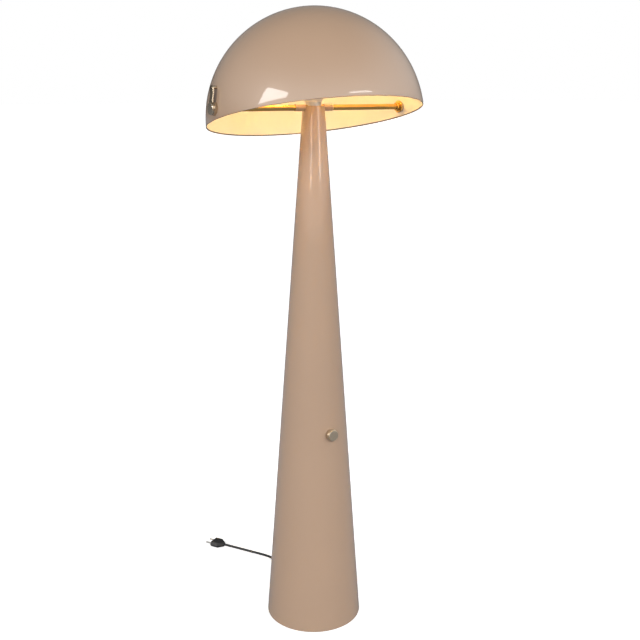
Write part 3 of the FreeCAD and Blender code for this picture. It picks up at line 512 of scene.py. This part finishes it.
def shape_tree(name, output, *inputs):
    """A Geometry Nodes tree with these inputs and a material, and the socket for the shape to make real and paint."""
    tree = bpy.data.node_groups.new(name, "GeometryNodeTree")
    for label, kind in (*inputs, ("Material", "Material")):
        tree.interface.new_socket(label, in_out="INPUT", socket_type="NodeSocket" + kind)
    tree.interface.new_socket(output, in_out="OUTPUT", socket_type="NodeSocketGeometry")
    given, out = tree.nodes.new("NodeGroupInput").outputs, tree.nodes.new("NodeGroupOutput").inputs
    real = tree.nodes.new("GeometryNodeRealizeInstances")
    paint = tree.nodes.new("GeometryNodeSetMaterial")
    tree.links.new(real.outputs["Geometry"], paint.inputs["Geometry"])
    tree.links.new(given["Material"], paint.inputs["Material"])
    tree.links.new(paint.outputs["Geometry"], out[output])
    return tree, given, real.inputs["Geometry"]


def turning_tree():
    """Turns an outline, drawn 1 m short of the axis, about Z into one closed shell."""
    name = "turned_shell"
    if name in bpy.data.node_groups:
        return bpy.data.node_groups[name]
    tree, given, shape = shape_tree(name, "Shell", ("Outline", "Geometry"), ("Segments", "Int"),
                                    ("Weld Distance", "Float"))
    circle = tree.nodes.new("GeometryNodeCurvePrimitiveCircle")
    circle.inputs["Radius"].default_value = 1.0
    sweep = tree.nodes.new("GeometryNodeCurveToMesh")
    weld = tree.nodes.new("GeometryNodeMergeByDistance")
    for source, socket in (
            (given["Segments"], circle.inputs["Resolution"]), (circle.outputs["Curve"], sweep.inputs["Curve"]),
            (given["Outline"], sweep.inputs["Profile Curve"]), (sweep.outputs["Mesh"], weld.inputs["Geometry"]),
            (given["Weld Distance"], weld.inputs["Distance"]), (weld.outputs["Geometry"], shape)):
        tree.links.new(source, socket)
    return tree


def set_input(modifier, label, value):
    for item in modifier.node_group.interface.items_tree:
        if item.item_type == "SOCKET" and item.in_out == "INPUT" and item.name == label:
            modifier[item.identifier] = value
            return
    raise ValueError(f"{modifier.node_group.name} has no input {label}")


def grown_mesh(seed, tree, inputs):
    """The mesh that a Geometry Nodes tree makes of an object, which is then thrown away."""
    modifier = seed.modifiers.new(tree.name, "NODES")
    modifier.node_group = tree
    for label, value in inputs.items():
        set_input(modifier, label, value)
    ready = seed.evaluated_get(bpy.context.evaluated_depsgraph_get())
    mesh = bpy.data.meshes.new_from_object(ready)
    seed.modifiers.remove(modifier)
    data = seed.data
    bpy.data.objects.remove(seed)
    (bpy.data.curves if isinstance(data, bpy.types.Curve) else bpy.data.meshes).remove(data)
    return mesh


def turned(name, outline, segments, material, closed=False):
    """A shell turned about Z from an outline of (radius, height), its outside run going down."""
    curve = bpy.data.curves.new(name + "_outline", "CURVE")
    curve.dimensions = "3D"
    spline = curve.splines.new("POLY")
    spline.points.add(len(outline) - 1)
    for point, (radius, height) in zip(spline.points, outline):
        point.co = (radius - 1.0, -height, 0.0, 1.0)
    spline.use_cyclic_u = closed
    mesh = grown_mesh(new_piece(name + "_seed", curve), turning_tree(), {
        "Segments": segments, "Weld Distance": 2e-6, "Material": bpy.data.materials[material]})
    mesh.name = name
    return new_piece(name, mesh)


def rod_between(start, end, radius, segments=48):
    """A plain cutting rod, as (vertices, faces)."""
    start, end = Vector(start), Vector(end)
    axis = (end - start).normalized()
    side = axis.orthogonal().normalized()
    other = axis.cross(side)
    ends = []
    for place in (start, end):
        ends.append([place + (side * math.cos(a) + other * math.sin(a)) * radius
                     for a in (2 * math.pi * k / segments for k in range(segments))])
    faces = [list(range(segments))[::-1], list(range(segments, 2 * segments))]
    faces += [[k, (k + 1) % segments, segments + (k + 1) % segments, segments + k] for k in range(segments)]
    return ends[0] + ends[1], faces


def block_between(low, high):
    corners = [Vector((x, y, z)) for x in (low[0], high[0]) for y in (low[1], high[1]) for z in (low[2], high[2])]
    return corners, [[0, 1, 3, 2], [4, 6, 7, 5], [0, 4, 5, 1], [2, 3, 7, 6], [0, 2, 6, 4], [1, 5, 7, 3]]


def cut_away(piece, tools):
    """Cuts rods and blocks out of a piece, and leaves a plain mesh."""
    for vertices, faces in tools:
        mesh = mesh_of("cutter", vertices, faces)
        cutter = new_piece("cutter", mesh)
        modifier = piece.modifiers.new("cut", "BOOLEAN")
        modifier.operation, modifier.solver, modifier.object = "DIFFERENCE", "EXACT", cutter
        result = bpy.data.meshes.new_from_object(piece.evaluated_get(bpy.context.evaluated_depsgraph_get()))
        piece.modifiers.remove(modifier)
        old, piece.data = piece.data, result
        bpy.data.meshes.remove(old)
        bpy.data.objects.remove(cutter)
        bpy.data.meshes.remove(mesh)
    piece.data.name = piece.name


def shade_by_rule(mesh, rule, limit=8.0):
    """Smooth shading with the exact normal of the surface that a rule gives, where a face lies in that surface."""
    smooth(mesh, 32)
    normals = [Vector(n.vector) for n in mesh.corner_normals]
    edge = math.cos(math.radians(limit))
    for face in mesh.polygons:
        for corner in face.loop_indices:
            exact = rule(mesh.vertices[mesh.loops[corner].vertex_index].co)
            if exact is None:
                continue
            for sign in (1, -1):
                if (exact * sign).dot(face.normal) > edge:
                    normals[corner] = exact * sign
    mesh.normals_split_custom_set([tuple(n) for n in normals])


def dressed(node, name, width=0.0004, segments=3, angle=28.0, finish_name=None, slack=0.5):
    """A welded copy of a frame node with its edges rounded, in the node's place."""
    bm = bmesh.new()
    bm.from_mesh(nodes[node].data)
    bmesh.ops.remove_doubles(bm, verts=bm.verts, dist=3e-6)
    bmesh.ops.dissolve_limit(bm, angle_limit=math.radians(slack), verts=bm.verts, edges=bm.edges)
    bm.verts.ensure_lookup_table()
    mesh = mesh_of(name, [v.co for v in bm.verts], [[v.index for v in f.verts] for f in bm.faces])
    bm.free()
    smooth(mesh, angle)
    piece = new_piece(name, mesh, finish_name or finish_of(node))
    bevel = piece.modifiers.new("rounded_edges", "BEVEL")
    bevel.width, bevel.segments, bevel.limit_method, bevel.angle_limit = width, segments, "ANGLE", math.radians(angle)
    bevel.harden_normals = bevel.use_clamp_overlap = True
    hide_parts(node)
    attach(piece, nodes[node]["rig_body"])
    return piece


# ---------------------------------------------------------------- the shade


def bar_turn(angle):
    """A turn about the bar, by an angle in radians."""
    pivot = Vector((0.0, 0.0, bar_height))
    return Matrix.Translation(pivot) @ Matrix.Rotation(angle, 4, "X") @ Matrix.Translation(-pivot)


def make_dome():
    sizes = settings("shade")
    radius, inner = sizes.radius, sizes.radius - sizes.wall
    rim = sizes.centre_drop - sizes.rim_drop
    centre_height = bar_height - sizes.centre_drop
    outside, inside = open_ball(radius, sizes.wall, centre_height, rim, sizes.steps)
    # An extra ring of points marks where the band of painted shade inside the rim ends.
    band = math.asin(rim / inner) + sizes.rim_shade_band / inner
    inside.insert(1, (inner * math.cos(band), centre_height + inner * math.sin(band)))
    dome = turned("shade", rounded_rim(outside, inside, sizes.rim_rounding), sizes.segments, "taupe_lacquer")
    reach = radius * 1.2
    tools = []
    for side in (-1, 1):
        for height, hole in ((bar_height, sizes.pivot_hole), (bar_height + sizes.stay_height, sizes.stay_hole)):
            tools.append(rod_between((side * radius * 0.8, 0, height), (side * reach, 0, height), hole))
    cut_away(dome, tools)
    mesh = dome.data
    mesh.materials.append(bpy.data.materials["reflector_paint"])
    # The third material is the dark brown of the painted shade along the rim.
    mesh.materials.append(bpy.data.materials["rim_edge"])
    centre = Vector((0, 0, centre_height))
    lowest = centre_height + rim
    for face in mesh.polygons:
        inward = (centre - face.center).normalized()
        inner_face = (face.center - centre).length < inner + 0.0002 and face.normal.dot(inward) > 0.9
        face.material_index = 1 if inner_face else 0
        # The rim's end and the band just inside it take the dark brown: painted shade along the rim.
        if face.center.z < lowest + (sizes.rim_shade_band if inner_face else 0.0008):
            face.material_index = 2
    mesh.transform(bar_turn(sizes.tilt))
    centre = bar_turn(sizes.tilt) @ centre

    def sphere(point):
        out = point - centre
        close = min(abs(out.length - radius), abs(out.length - inner)) < 0.0001
        return out.normalized() if close else None

    shade_by_rule(mesh, sphere)
    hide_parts("shade_dome")
    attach(dome, "shade")


def copies_tree():
    """Copies of one piece, set evenly round the lamp's axis."""
    tree, given, shape = shape_tree("set_round_axis", "Set", ("Piece", "Geometry"), ("Count", "Int"))
    points = tree.nodes.new("GeometryNodePoints")
    place = tree.nodes.new("GeometryNodeInstanceOnPoints")
    index = tree.nodes.new("GeometryNodeInputIndex")
    spin = tree.nodes.new("ShaderNodeCombineXYZ")
    part_turn = combined(tree, "DIVIDE", index.outputs["Index"], given["Count"])
    for source, socket in (
            (given["Count"], points.inputs["Count"]), (product(tree, part_turn, 2 * math.pi), spin.inputs["Z"]),
            (points.outputs[0], place.inputs["Points"]), (given["Piece"], place.inputs["Instance"]),
            (spin.outputs["Vector"], place.inputs["Rotation"]), (place.outputs["Instances"], shape)):
        tree.links.new(source, socket)
    return tree


def make_stay_screws():
    """Two small slotted screws through the tips of the stays, with a crowned head each."""
    sizes = settings("shade")
    head, end = 0.0016, 0.2088  # height of the head, and the thread's end along the bar
    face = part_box("stay_screws")[1][0] - head
    outline = [(0.0, head), (0.0010, head * 0.97), (0.0018, head * 0.86), (0.0024, head * 0.62),
               (0.0027, head * 0.25), (0.0027, 0.00012), (0.0026, 0.0), (0.0015, 0.0),
               (0.0015, end - face + 0.0003), (0.0012, end - face), (0.0, end - face)]
    screw = turned("stay_screw_seed", [Vector(p) for p in outline], 32, "dark_screw")
    cut_away(screw, [block_between((-0.004, -0.0004, head - 0.0008), (0.004, 0.0004, head + 0.001))])
    across = Matrix.Translation((face, 0.0, bar_height + sizes.stay_height)) @ Matrix.Rotation(math.pi / 2, 4, "Y")
    screw.data.transform(across)
    mesh = grown_mesh(screw, copies_tree(), {"Count": 2, "Material": bpy.data.materials["dark_screw"]})
    mesh.transform(bar_turn(sizes.tilt))
    smooth(mesh, 35)
    mesh.name = "stay_screw_pair"
    pair = new_piece("stay_screw_pair", mesh)
    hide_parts("stay_screws")
    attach(pair, "shade")


# ---------------------------------------------------------------- the stem


def make_cone():
    sizes = settings("stem")
    slope = (sizes.foot_radius - sizes.top_radius) / sizes.height
    lean = math.atan(slope)

    def outer(z):
        return sizes.foot_radius - slope * z

    levels = [stem_rim + (stem_foot - stem_rim) * k / sizes.steps for k in range(sizes.steps + 1)]
    outside, inside = [(outer(z), z) for z in levels], [(outer(z) - sizes.wall, z) for z in reversed(levels)]
    cone = turned("stem", rounded_rim(outside, inside, sizes.edge_rounding), sizes.segments, "taupe_lacquer",
                  closed=True)
    knob = Vector((0, -outer(sizes.knob_height), sizes.knob_height))
    out = Vector((0, -math.cos(lean), math.sin(lean)))
    through = out * 0.006
    slot_start, slot_end, slot_rise, gland_start, gland_end = 0.0115, 0.046, 0.011, 0.09, 0.12
    tools = [rod_between(knob - through, knob + through, sizes.knob_hole),
             rod_between((0, gland_start, gland_height), (0, gland_end, gland_height), sizes.gland_hole)]
    for side in (-1, 1):
        near, far = sorted((side * slot_start, side * slot_end))
        tools.append(rod_between((near, 0, bar_height), (far, 0, bar_height), sizes.bar_slot))
        tools.append(block_between((near, -sizes.bar_slot, bar_height),
                                   (far, sizes.bar_slot, bar_height + slot_rise)))
    cut_away(cone, tools)

    def wall(point):
        radius = math.hypot(point.x, point.y)
        gap = outer(point.z) - radius
        if min(abs(gap), abs(gap - sizes.wall)) > 0.0001 or radius < 1e-6:
            return None
        return Vector((point.x / radius * math.cos(lean), point.y / radius * math.cos(lean), math.sin(lean)))

    shade_by_rule(cone.data, wall, limit=6.0)
    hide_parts("stem_cone")
    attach(cone, "stand")


# ---------------------------------------------------------------- bulb


def make_globe():
    low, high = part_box("bulb_globe")
    radius, wall = (high[0] - low[0]) / 2, 0.0012
    centre = high[2] - radius
    outside, inside = open_ball(radius, wall, centre, low[2] - centre, 40)
    globe = turned("bulb_opal_globe", rounded_rim(outside, inside, 0.0004, 3), 96, "opal_globe")
    smooth(globe.data, 40)
    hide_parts("bulb_globe")
    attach(globe, "bulb")


# ---------------------------------------------------------------- cord, tie and plug


COIL_LEAD, COIL_START = 0.144, 0.150  # where the cord, straight from the gland, comes up to its coil and enters it


def clamp(value):
    return max(0.0, min(1.0, value))


def coil_place(turn):
    """A point of the put-away coil: two turns side by side, then up or down a layer on the turns before."""
    cord = settings("cord")
    radius, pitch = cord.turn_radius, cord.pitch
    first = math.pi + math.atan(pitch / (2 * math.pi * radius))
    start = Vector((0.0, COIL_START))
    middle = start - Vector((math.cos(first), math.sin(first))) * radius
    layer, into = divmod(min(turn, cord.turns - 1e-9), 2)
    reach = radius - pitch * (into if layer % 2 == 0 else 2 - into)
    angle = first - 2 * math.pi * turn
    drop = sum(pitch * (1 - math.cos(math.pi * clamp((turn - 2 * k) * 2 + 0.5))) / 2 for k in (1, 2, 3))
    place = middle + Vector((math.cos(angle), math.sin(angle))) * reach
    return Vector((place.x, place.y, gland_height - drop))


def cord_route():
    """The cord's control points: out of the gland, down through the coil, and loosely over the floor to the plug."""
    cord = settings("cord")
    lift = cord.diameter / 2
    route = [Vector((0.0, gland_mouth, gland_height)), Vector((0.0, gland_mouth + 0.007, gland_height)),
             Vector((0.0, COIL_LEAD, gland_height))]
    route += [coil_place(k / cord.points) for k in range(cord.turns * cord.points + 1)]
    last = route[-1]
    heading = last - route[-2]
    heading.z = 0.0
    heading.normalize()
    route.append(last + heading * 0.006)
    route.append(last + heading * 0.024)
    route[-1].z = lift + 0.0002
    on_floor, at_plug = 0.00305, 0.0069
    for x, y, z in ((0.006, 0.203, on_floor), (0.021, 0.229, on_floor), (0.024, 0.256, on_floor),
                    (0.008, 0.285, on_floor), (-0.0123, 0.317, on_floor), (-0.0355, 0.3435, at_plug),
                    (-0.0552, 0.3745, at_plug)):
        route.append(Vector((x, y, z)))
    return route


def make_cord():
    cord = settings("cord")
    route = cord_route()
    curve = bpy.data.curves.new("mains_cord", "CURVE")
    curve.dimensions = "3D"
    spline = curve.splines.new("NURBS")
    spline.points.add(len(route) - 1)
    for point, place in zip(spline.points, route):
        point.co = (*place, 1.0)
    spline.order_u, spline.resolution_u = 3, 6
    spline.use_endpoint_u = spline.use_smooth = True
    curve.bevel_depth, curve.bevel_resolution, curve.use_fill_caps = cord.diameter / 2, 5, True
    piece = new_piece("mains_cord", curve, "cord_sheath")
    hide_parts("cord_exit", "cord_coil", "cord_lead")
    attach(piece, "stand")
    return piece, route


def make_tie():
    """A flat band with rounded corners round the bundle of turns."""
    low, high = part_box("coil_tie")
    thickness, corner = 0.0005, 0.0032
    loops = []
    for inset in (0.0, thickness):
        x0, x1, z0, z1 = low[0] + inset, high[0] - inset, low[2] + inset, high[2] - inset
        r = corner - inset
        loop = []
        for cx, cz, first in ((x1 - r, z1 - r, 0), (x0 + r, z1 - r, 90), (x0 + r, z0 + r, 180), (x1 - r, z0 + r, 270)):
            for k in range(9):
                a = math.radians(first + 90 * k / 8)
                loop.append((cx + r * math.cos(a), cz + r * math.sin(a)))
        loops.append(loop)
    count = len(loops[0])
    places = [(x, y, z) for y in (low[1], high[1]) for loop in loops for x, z in loop]
    faces = []
    for k in range(count):
        n = (k + 1) % count
        outer0, inner0, outer1, inner1 = 0, count, 2 * count, 3 * count
        faces += [[outer0 + k, outer0 + n, inner0 + n, inner0 + k], [outer1 + n, outer1 + k, inner1 + k, inner1 + n],
                  [outer0 + n, outer0 + k, outer1 + k, outer1 + n], [inner0 + k, inner0 + n, inner1 + n, inner1 + k]]
    mesh = mesh_of("coil_band", places, faces)
    bm = bmesh.new()
    bm.from_mesh(mesh)
    bmesh.ops.recalc_face_normals(bm, faces=bm.faces)
    bm.to_mesh(mesh)
    bm.free()
    smooth(mesh, 40)
    band = new_piece("coil_band", mesh, "black_plastic")
    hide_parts("coil_tie")
    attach(band, "stand")
    return band


# ---------------------------------------------------------------- studio


def towards(azimuth, elevation):
    """The direction at an azimuth from the front, to the right, and an elevation, in degrees."""
    a, e = math.radians(azimuth), math.radians(elevation)
    return Vector((math.sin(a) * math.cos(e), -math.cos(a) * math.cos(e), math.sin(e)))


def glow_material(name, colour, strength):
    material = bpy.data.materials.new(name)
    material.use_nodes = True
    tree = material.node_tree
    tree.nodes.clear()
    out = tree.nodes.new("ShaderNodeOutputMaterial")
    glow = tree.nodes.new("ShaderNodeEmission")
    glow.inputs["Color"].default_value = (*colour, 1.0)
    glow.inputs["Strength"].default_value = strength
    tree.links.new(glow.outputs["Emission"], out.inputs["Surface"])
    return material


SOFTBOX_DISTANCE, SOFTBOX_COLOUR = 5.0, (1.0, 0.98, 0.96)


def softbox(name, origin, corners, strength):
    """A lit panel that fills these directions, seen from a point on the lamp."""
    places = [Vector(origin) + towards(a, e) * SOFTBOX_DISTANCE for a, e in corners]
    panel = new_piece(name, mesh_of(name, places, [list(range(len(places)))]))
    panel.data.materials.append(glow_material(name, SOFTBOX_COLOUR, strength))
    panel.visible_camera = False


def pick_by_ray(tree, seen, lit, out):
    """Shows the camera one shader, and every other ray another."""
    path = tree.nodes.new("ShaderNodeLightPath")
    pick = tree.nodes.new("ShaderNodeMixShader")
    for source, socket in ((path.outputs["Is Camera Ray"], pick.inputs["Fac"]), (lit, pick.inputs[1]),
                           (seen, pick.inputs[2]), (pick.outputs["Shader"], out.inputs["Surface"])):
        tree.links.new(source, socket)


def facing(tree, ray, direction):
    """How closely a ray points in a direction, from -1 to 1."""
    node = tree.nodes.new("ShaderNodeVectorMath")
    node.operation = "DOT_PRODUCT"
    node.inputs[1].default_value = Vector(direction).normalized()
    tree.links.new(ray, node.inputs[0])
    return node.outputs["Value"]


def make_floor():
    """A floor that looks white to the camera, and returns a duller and cooler light to the lamp."""
    reach, depth, shade = 60.0, -0.0003, settings("studio").floor_shade
    corners = [(-reach, -reach, depth), (reach, -reach, depth), (reach, reach, depth), (-reach, reach, depth)]
    floor = new_piece("studio_floor", mesh_of("studio_floor", corners, [[0, 1, 2, 3]]))
    material = bpy.data.materials.new("studio_floor")
    material.use_nodes = True
    tree = material.node_tree
    shader = tree.nodes["Principled BSDF"]
    for label, value in (("Base Color", (0.84, 0.84, 0.84, 1.0)), ("Roughness", 0.9), ("Specular IOR Level", 0.0)):
        shader.inputs[label].default_value = value
    bounce = tree.nodes.new("ShaderNodeBsdfDiffuse")
    bounce.inputs["Color"].default_value = (shade * 0.94, shade, shade * 1.12, 1.0)
    glow = tree.nodes.new("ShaderNodeEmission")
    glow.inputs["Strength"].default_value = 0.62
    both = tree.nodes.new("ShaderNodeAddShader")
    tree.links.new(shader.outputs["BSDF"], both.inputs[0])
    tree.links.new(glow.outputs["Emission"], both.inputs[1])
    pick_by_ray(tree, both.outputs["Shader"], bounce.outputs["BSDF"], tree.nodes["Material Output"])
    floor.data.materials.append(material)


def make_world():
    """A white backdrop for the camera, and for the lamp a room that is bright before it and dim behind."""
    studio = settings("studio")
    world = bpy.data.worlds.new("studio")
    world.use_nodes = True
    tree = world.node_tree
    tree.nodes.clear()
    out = tree.nodes.new("ShaderNodeOutputWorld")
    seen, lit = tree.nodes.new("ShaderNodeBackground"), tree.nodes.new("ShaderNodeBackground")
    seen.inputs["Strength"].default_value = studio.backdrop
    seen.inputs["Color"].default_value = (1.0, 1.0, 1.0, 1.0)
    lit.inputs["Color"].default_value = (1.0, 0.985, 0.975, 1.0)
    ray = tree.nodes.new("ShaderNodeTexCoord").outputs["Generated"]
    ahead = facing(tree, ray, (-math.sin(studio.front_side), -math.cos(studio.front_side), 0.16))
    level = ramp(tree, ahead, -0.8, 0.95, studio.back, studio.front)
    height = tree.nodes.new("ShaderNodeSeparateXYZ")
    tree.links.new(ray, height.inputs["Vector"])
    above = ramp(tree, height.outputs["Z"], 0.30, 1.0, 1.0, studio.ceiling)
    low = ramp(tree, height.outputs["Z"], 0.04, 0.28, studio.horizon, 1.0)
    level = product(tree, level, product(tree, above, low))
    fill = ramp(tree, facing(tree, ray, (1.0, -0.25, 0.1)), 0.45, 1.0, 0.0, studio.side_fill)
    tree.links.new(total(tree, level, fill), lit.inputs["Strength"])
    pick_by_ray(tree, seen.outputs["Background"], lit.outputs["Background"], out)
    bpy.context.scene.world = world
    bpy.context.scene.view_settings.view_transform = "Standard"


def make_camera():
    studio = settings("studio")
    yaw, pitch, roll = studio.camera_yaw, studio.camera_pitch, studio.camera_roll
    forward = Vector((math.sin(yaw) * math.cos(pitch), math.cos(yaw) * math.cos(pitch), math.sin(pitch)))
    right = Vector((math.cos(yaw), -math.sin(yaw), 0.0))
    up = right.cross(forward)
    side = right * math.cos(roll) + up * math.sin(roll)
    top = up * math.cos(roll) - right * math.sin(roll)
    data = bpy.data.cameras.new("studio_camera")
    data.lens, data.sensor_width, data.sensor_fit = studio.lens, 36.0, "HORIZONTAL"
    data.clip_start, data.clip_end = 0.01, 200.0
    camera = new_piece("studio_camera", data)
    camera.matrix_world = Matrix.Translation(Vector(studio.camera_place)) @ Matrix(
        (side, top, -forward)).transposed().to_4x4()
    bpy.context.scene.camera = camera


# ---------------------------------------------------------------- operators


class LAMP_OT_finishes(bpy.types.Operator):
    """Mix every finish and put it on the frame's nodes"""
    bl_idname = "lamp.finishes"
    bl_label = "Finishes"

    def execute(self, context):
        colours = settings("finish")
        build_sprayed_coat()
        build_turned_metal()
        build_moulded_skin()
        build_lacquers(colours)
        build_metals(colours)
        build_plastics(colours)
        build_grooved_rubber()
        for name, members in NODE_FINISHES.items():
            for node in members:
                mesh = nodes[node].data
                mesh.materials.clear()
                mesh.materials.append(bpy.data.materials[name])
        return {"FINISHED"}


class LAMP_OT_shade(bpy.types.Operator):
    """Turn the dome of the shade, with its rounded rim and pivot holes"""
    bl_idname = "lamp.shade"
    bl_label = "Shade"

    def execute(self, context):
        make_dome()
        return {"FINISHED"}


class LAMP_OT_stem(bpy.types.Operator):
    """Turn the conical stem and dress its head cover and collars"""
    bl_idname = "lamp.stem"
    bl_label = "Stem"

    def execute(self, context):
        make_cone()
        dressed("head_cover", "head_cover_halves", width=0.0004)
        for side in ("left", "right"):
            dressed("collar_" + side, "collar_sleeve_" + side, width=0.0003)
        return {"FINISHED"}


class LAMP_OT_pivots(bpy.types.Operator):
    """Dress the bar, the flanges, bosses, stays and cap nuts, and set the stays' screws"""
    bl_idname = "lamp.pivots"
    bl_label = "Pivots"

    def execute(self, context):
        for side in ("left", "right"):
            dressed("cross_bar_" + side, "bar_" + side, width=0.0004)
            dressed("pivot_flange_" + side, "flange_" + side, width=0.0006)
            dressed("pivot_boss_" + side, "octagon_boss_" + side, width=0.0005)
            dressed("stay_" + side, "stay_strip_" + side, width=0.0004)
            dressed("cap_nut_" + side, "round_nut_" + side, width=0.0003)
        make_stay_screws()
        return {"FINISHED"}


class LAMP_OT_dimmer(bpy.types.Operator):
    """Dress the dimmer's octagonal knob and its round cap"""
    bl_idname = "lamp.dimmer"
    bl_label = "Dimmer knob"

    def execute(self, context):
        dressed("dimmer_knob", "octagon_knob", width=0.0005)
        dressed("dimmer_knob_cap", "knob_disc", width=0.0003)
        return {"FINISHED"}


class LAMP_OT_light(bpy.types.Operator):
    """Turn the bulb's globe and dress the lampholder"""
    bl_idname = "lamp.light"
    bl_label = "Bulb and lampholder"

    def execute(self, context):
        make_globe()
        dressed("lampholder_cap", "holder_cap", width=0.0006)
        dressed("lampholder_shell", "holder_shell", width=0.0006)
        dressed("bulb_body", "bulb_housing", width=0.0005)
        return {"FINISHED"}


class LAMP_OT_cord(bpy.types.Operator):
    """Lay the cord through its coil to the plug, with the gland and the tie"""
    bl_idname = "lamp.cord"
    bl_label = "Cord"

    def execute(self, context):
        cord = settings("cord")
        piece, route = make_cord()
        band = make_tie()
        plug = dressed("plug_body", "plug_moulding", width=0.0016, segments=4)
        dressed("cable_gland", "gland_boot", width=0.0005)
        return {"FINISHED"}


class LAMP_OT_studio(bpy.types.Operator):
    """Set up the floor, the backdrop, the softboxes and the camera"""
    bl_idname = "lamp.studio"
    bl_label = "Studio"

    def execute(self, context):
        studio = settings("studio")
        make_floor()
        make_world()
        dome_left, dome_right, stem_top = (-0.10, -0.15, 1.25), (0.06, -0.2, 1.25), (0.0, 0.0, 1.05)
        softbox("large_softbox", dome_left, [(-87, 29), (-60.5, 27), (-62, 22), (-92, 13)], studio.large_box)
        softbox("far_softbox", dome_right, [(6, 27.3), (34, 24.9), (34, 23.6), (6, 25.9)], studio.strip_box)
        softbox("left_strip", stem_top, [(-52, 9), (-48, 9), (-48, 1.5), (-52, 1.5)], studio.strip_box)
        softbox("right_strip", stem_top, [(12, 9), (23, 9), (23, 1.6), (12, 1.6)], studio.strip_box * 0.6)
        make_camera()
        return {"FINISHED"}


class LAMP_PT_panel(bpy.types.Panel):
    """The lamp's pieces and its studio"""
    bl_idname = "LAMP_PT_panel"
    bl_label = "Floor Lamp"
    bl_space_type = "VIEW_3D"
    bl_region_type = "UI"
    bl_category = "Floor Lamp"

    def draw(self, context):
        layout = self.layout
        for operator in OPERATORS:
            layout.operator(operator.bl_idname)
        for name in GROUPS:
            box = layout.box()
            box.label(text=name.capitalize())
            group = settings(name)
            for prop in group.bl_rna.properties:
                if not prop.is_readonly and prop.identifier != "name":
                    box.prop(group, prop.identifier)


OPERATORS = (LAMP_OT_finishes, LAMP_OT_cord, LAMP_OT_stem, LAMP_OT_shade, LAMP_OT_pivots, LAMP_OT_dimmer,
             LAMP_OT_light, LAMP_OT_studio)


def register():
    for name, group in GROUPS.items():
        bpy.utils.register_class(group)
        setattr(bpy.types.Scene, "lamp_" + name, PointerProperty(type=group))
    for cls in (*OPERATORS, LAMP_PT_panel):
        bpy.utils.register_class(cls)


def unregister():
    for cls in reversed((*OPERATORS, LAMP_PT_panel)):
        bpy.utils.unregister_class(cls)
    for name, group in reversed(list(GROUPS.items())):
        delattr(bpy.types.Scene, "lamp_" + name)
        bpy.utils.unregister_class(group)


def main():
    register()
    bpy.ops.lamp.finishes()
    bpy.ops.lamp.cord()
    bpy.ops.lamp.stem()
    bpy.ops.lamp.shade()
    bpy.ops.lamp.pivots()
    bpy.ops.lamp.dimmer()
    bpy.ops.lamp.light()
    bpy.ops.lamp.studio()


if __name__ == "__main__":
    main()
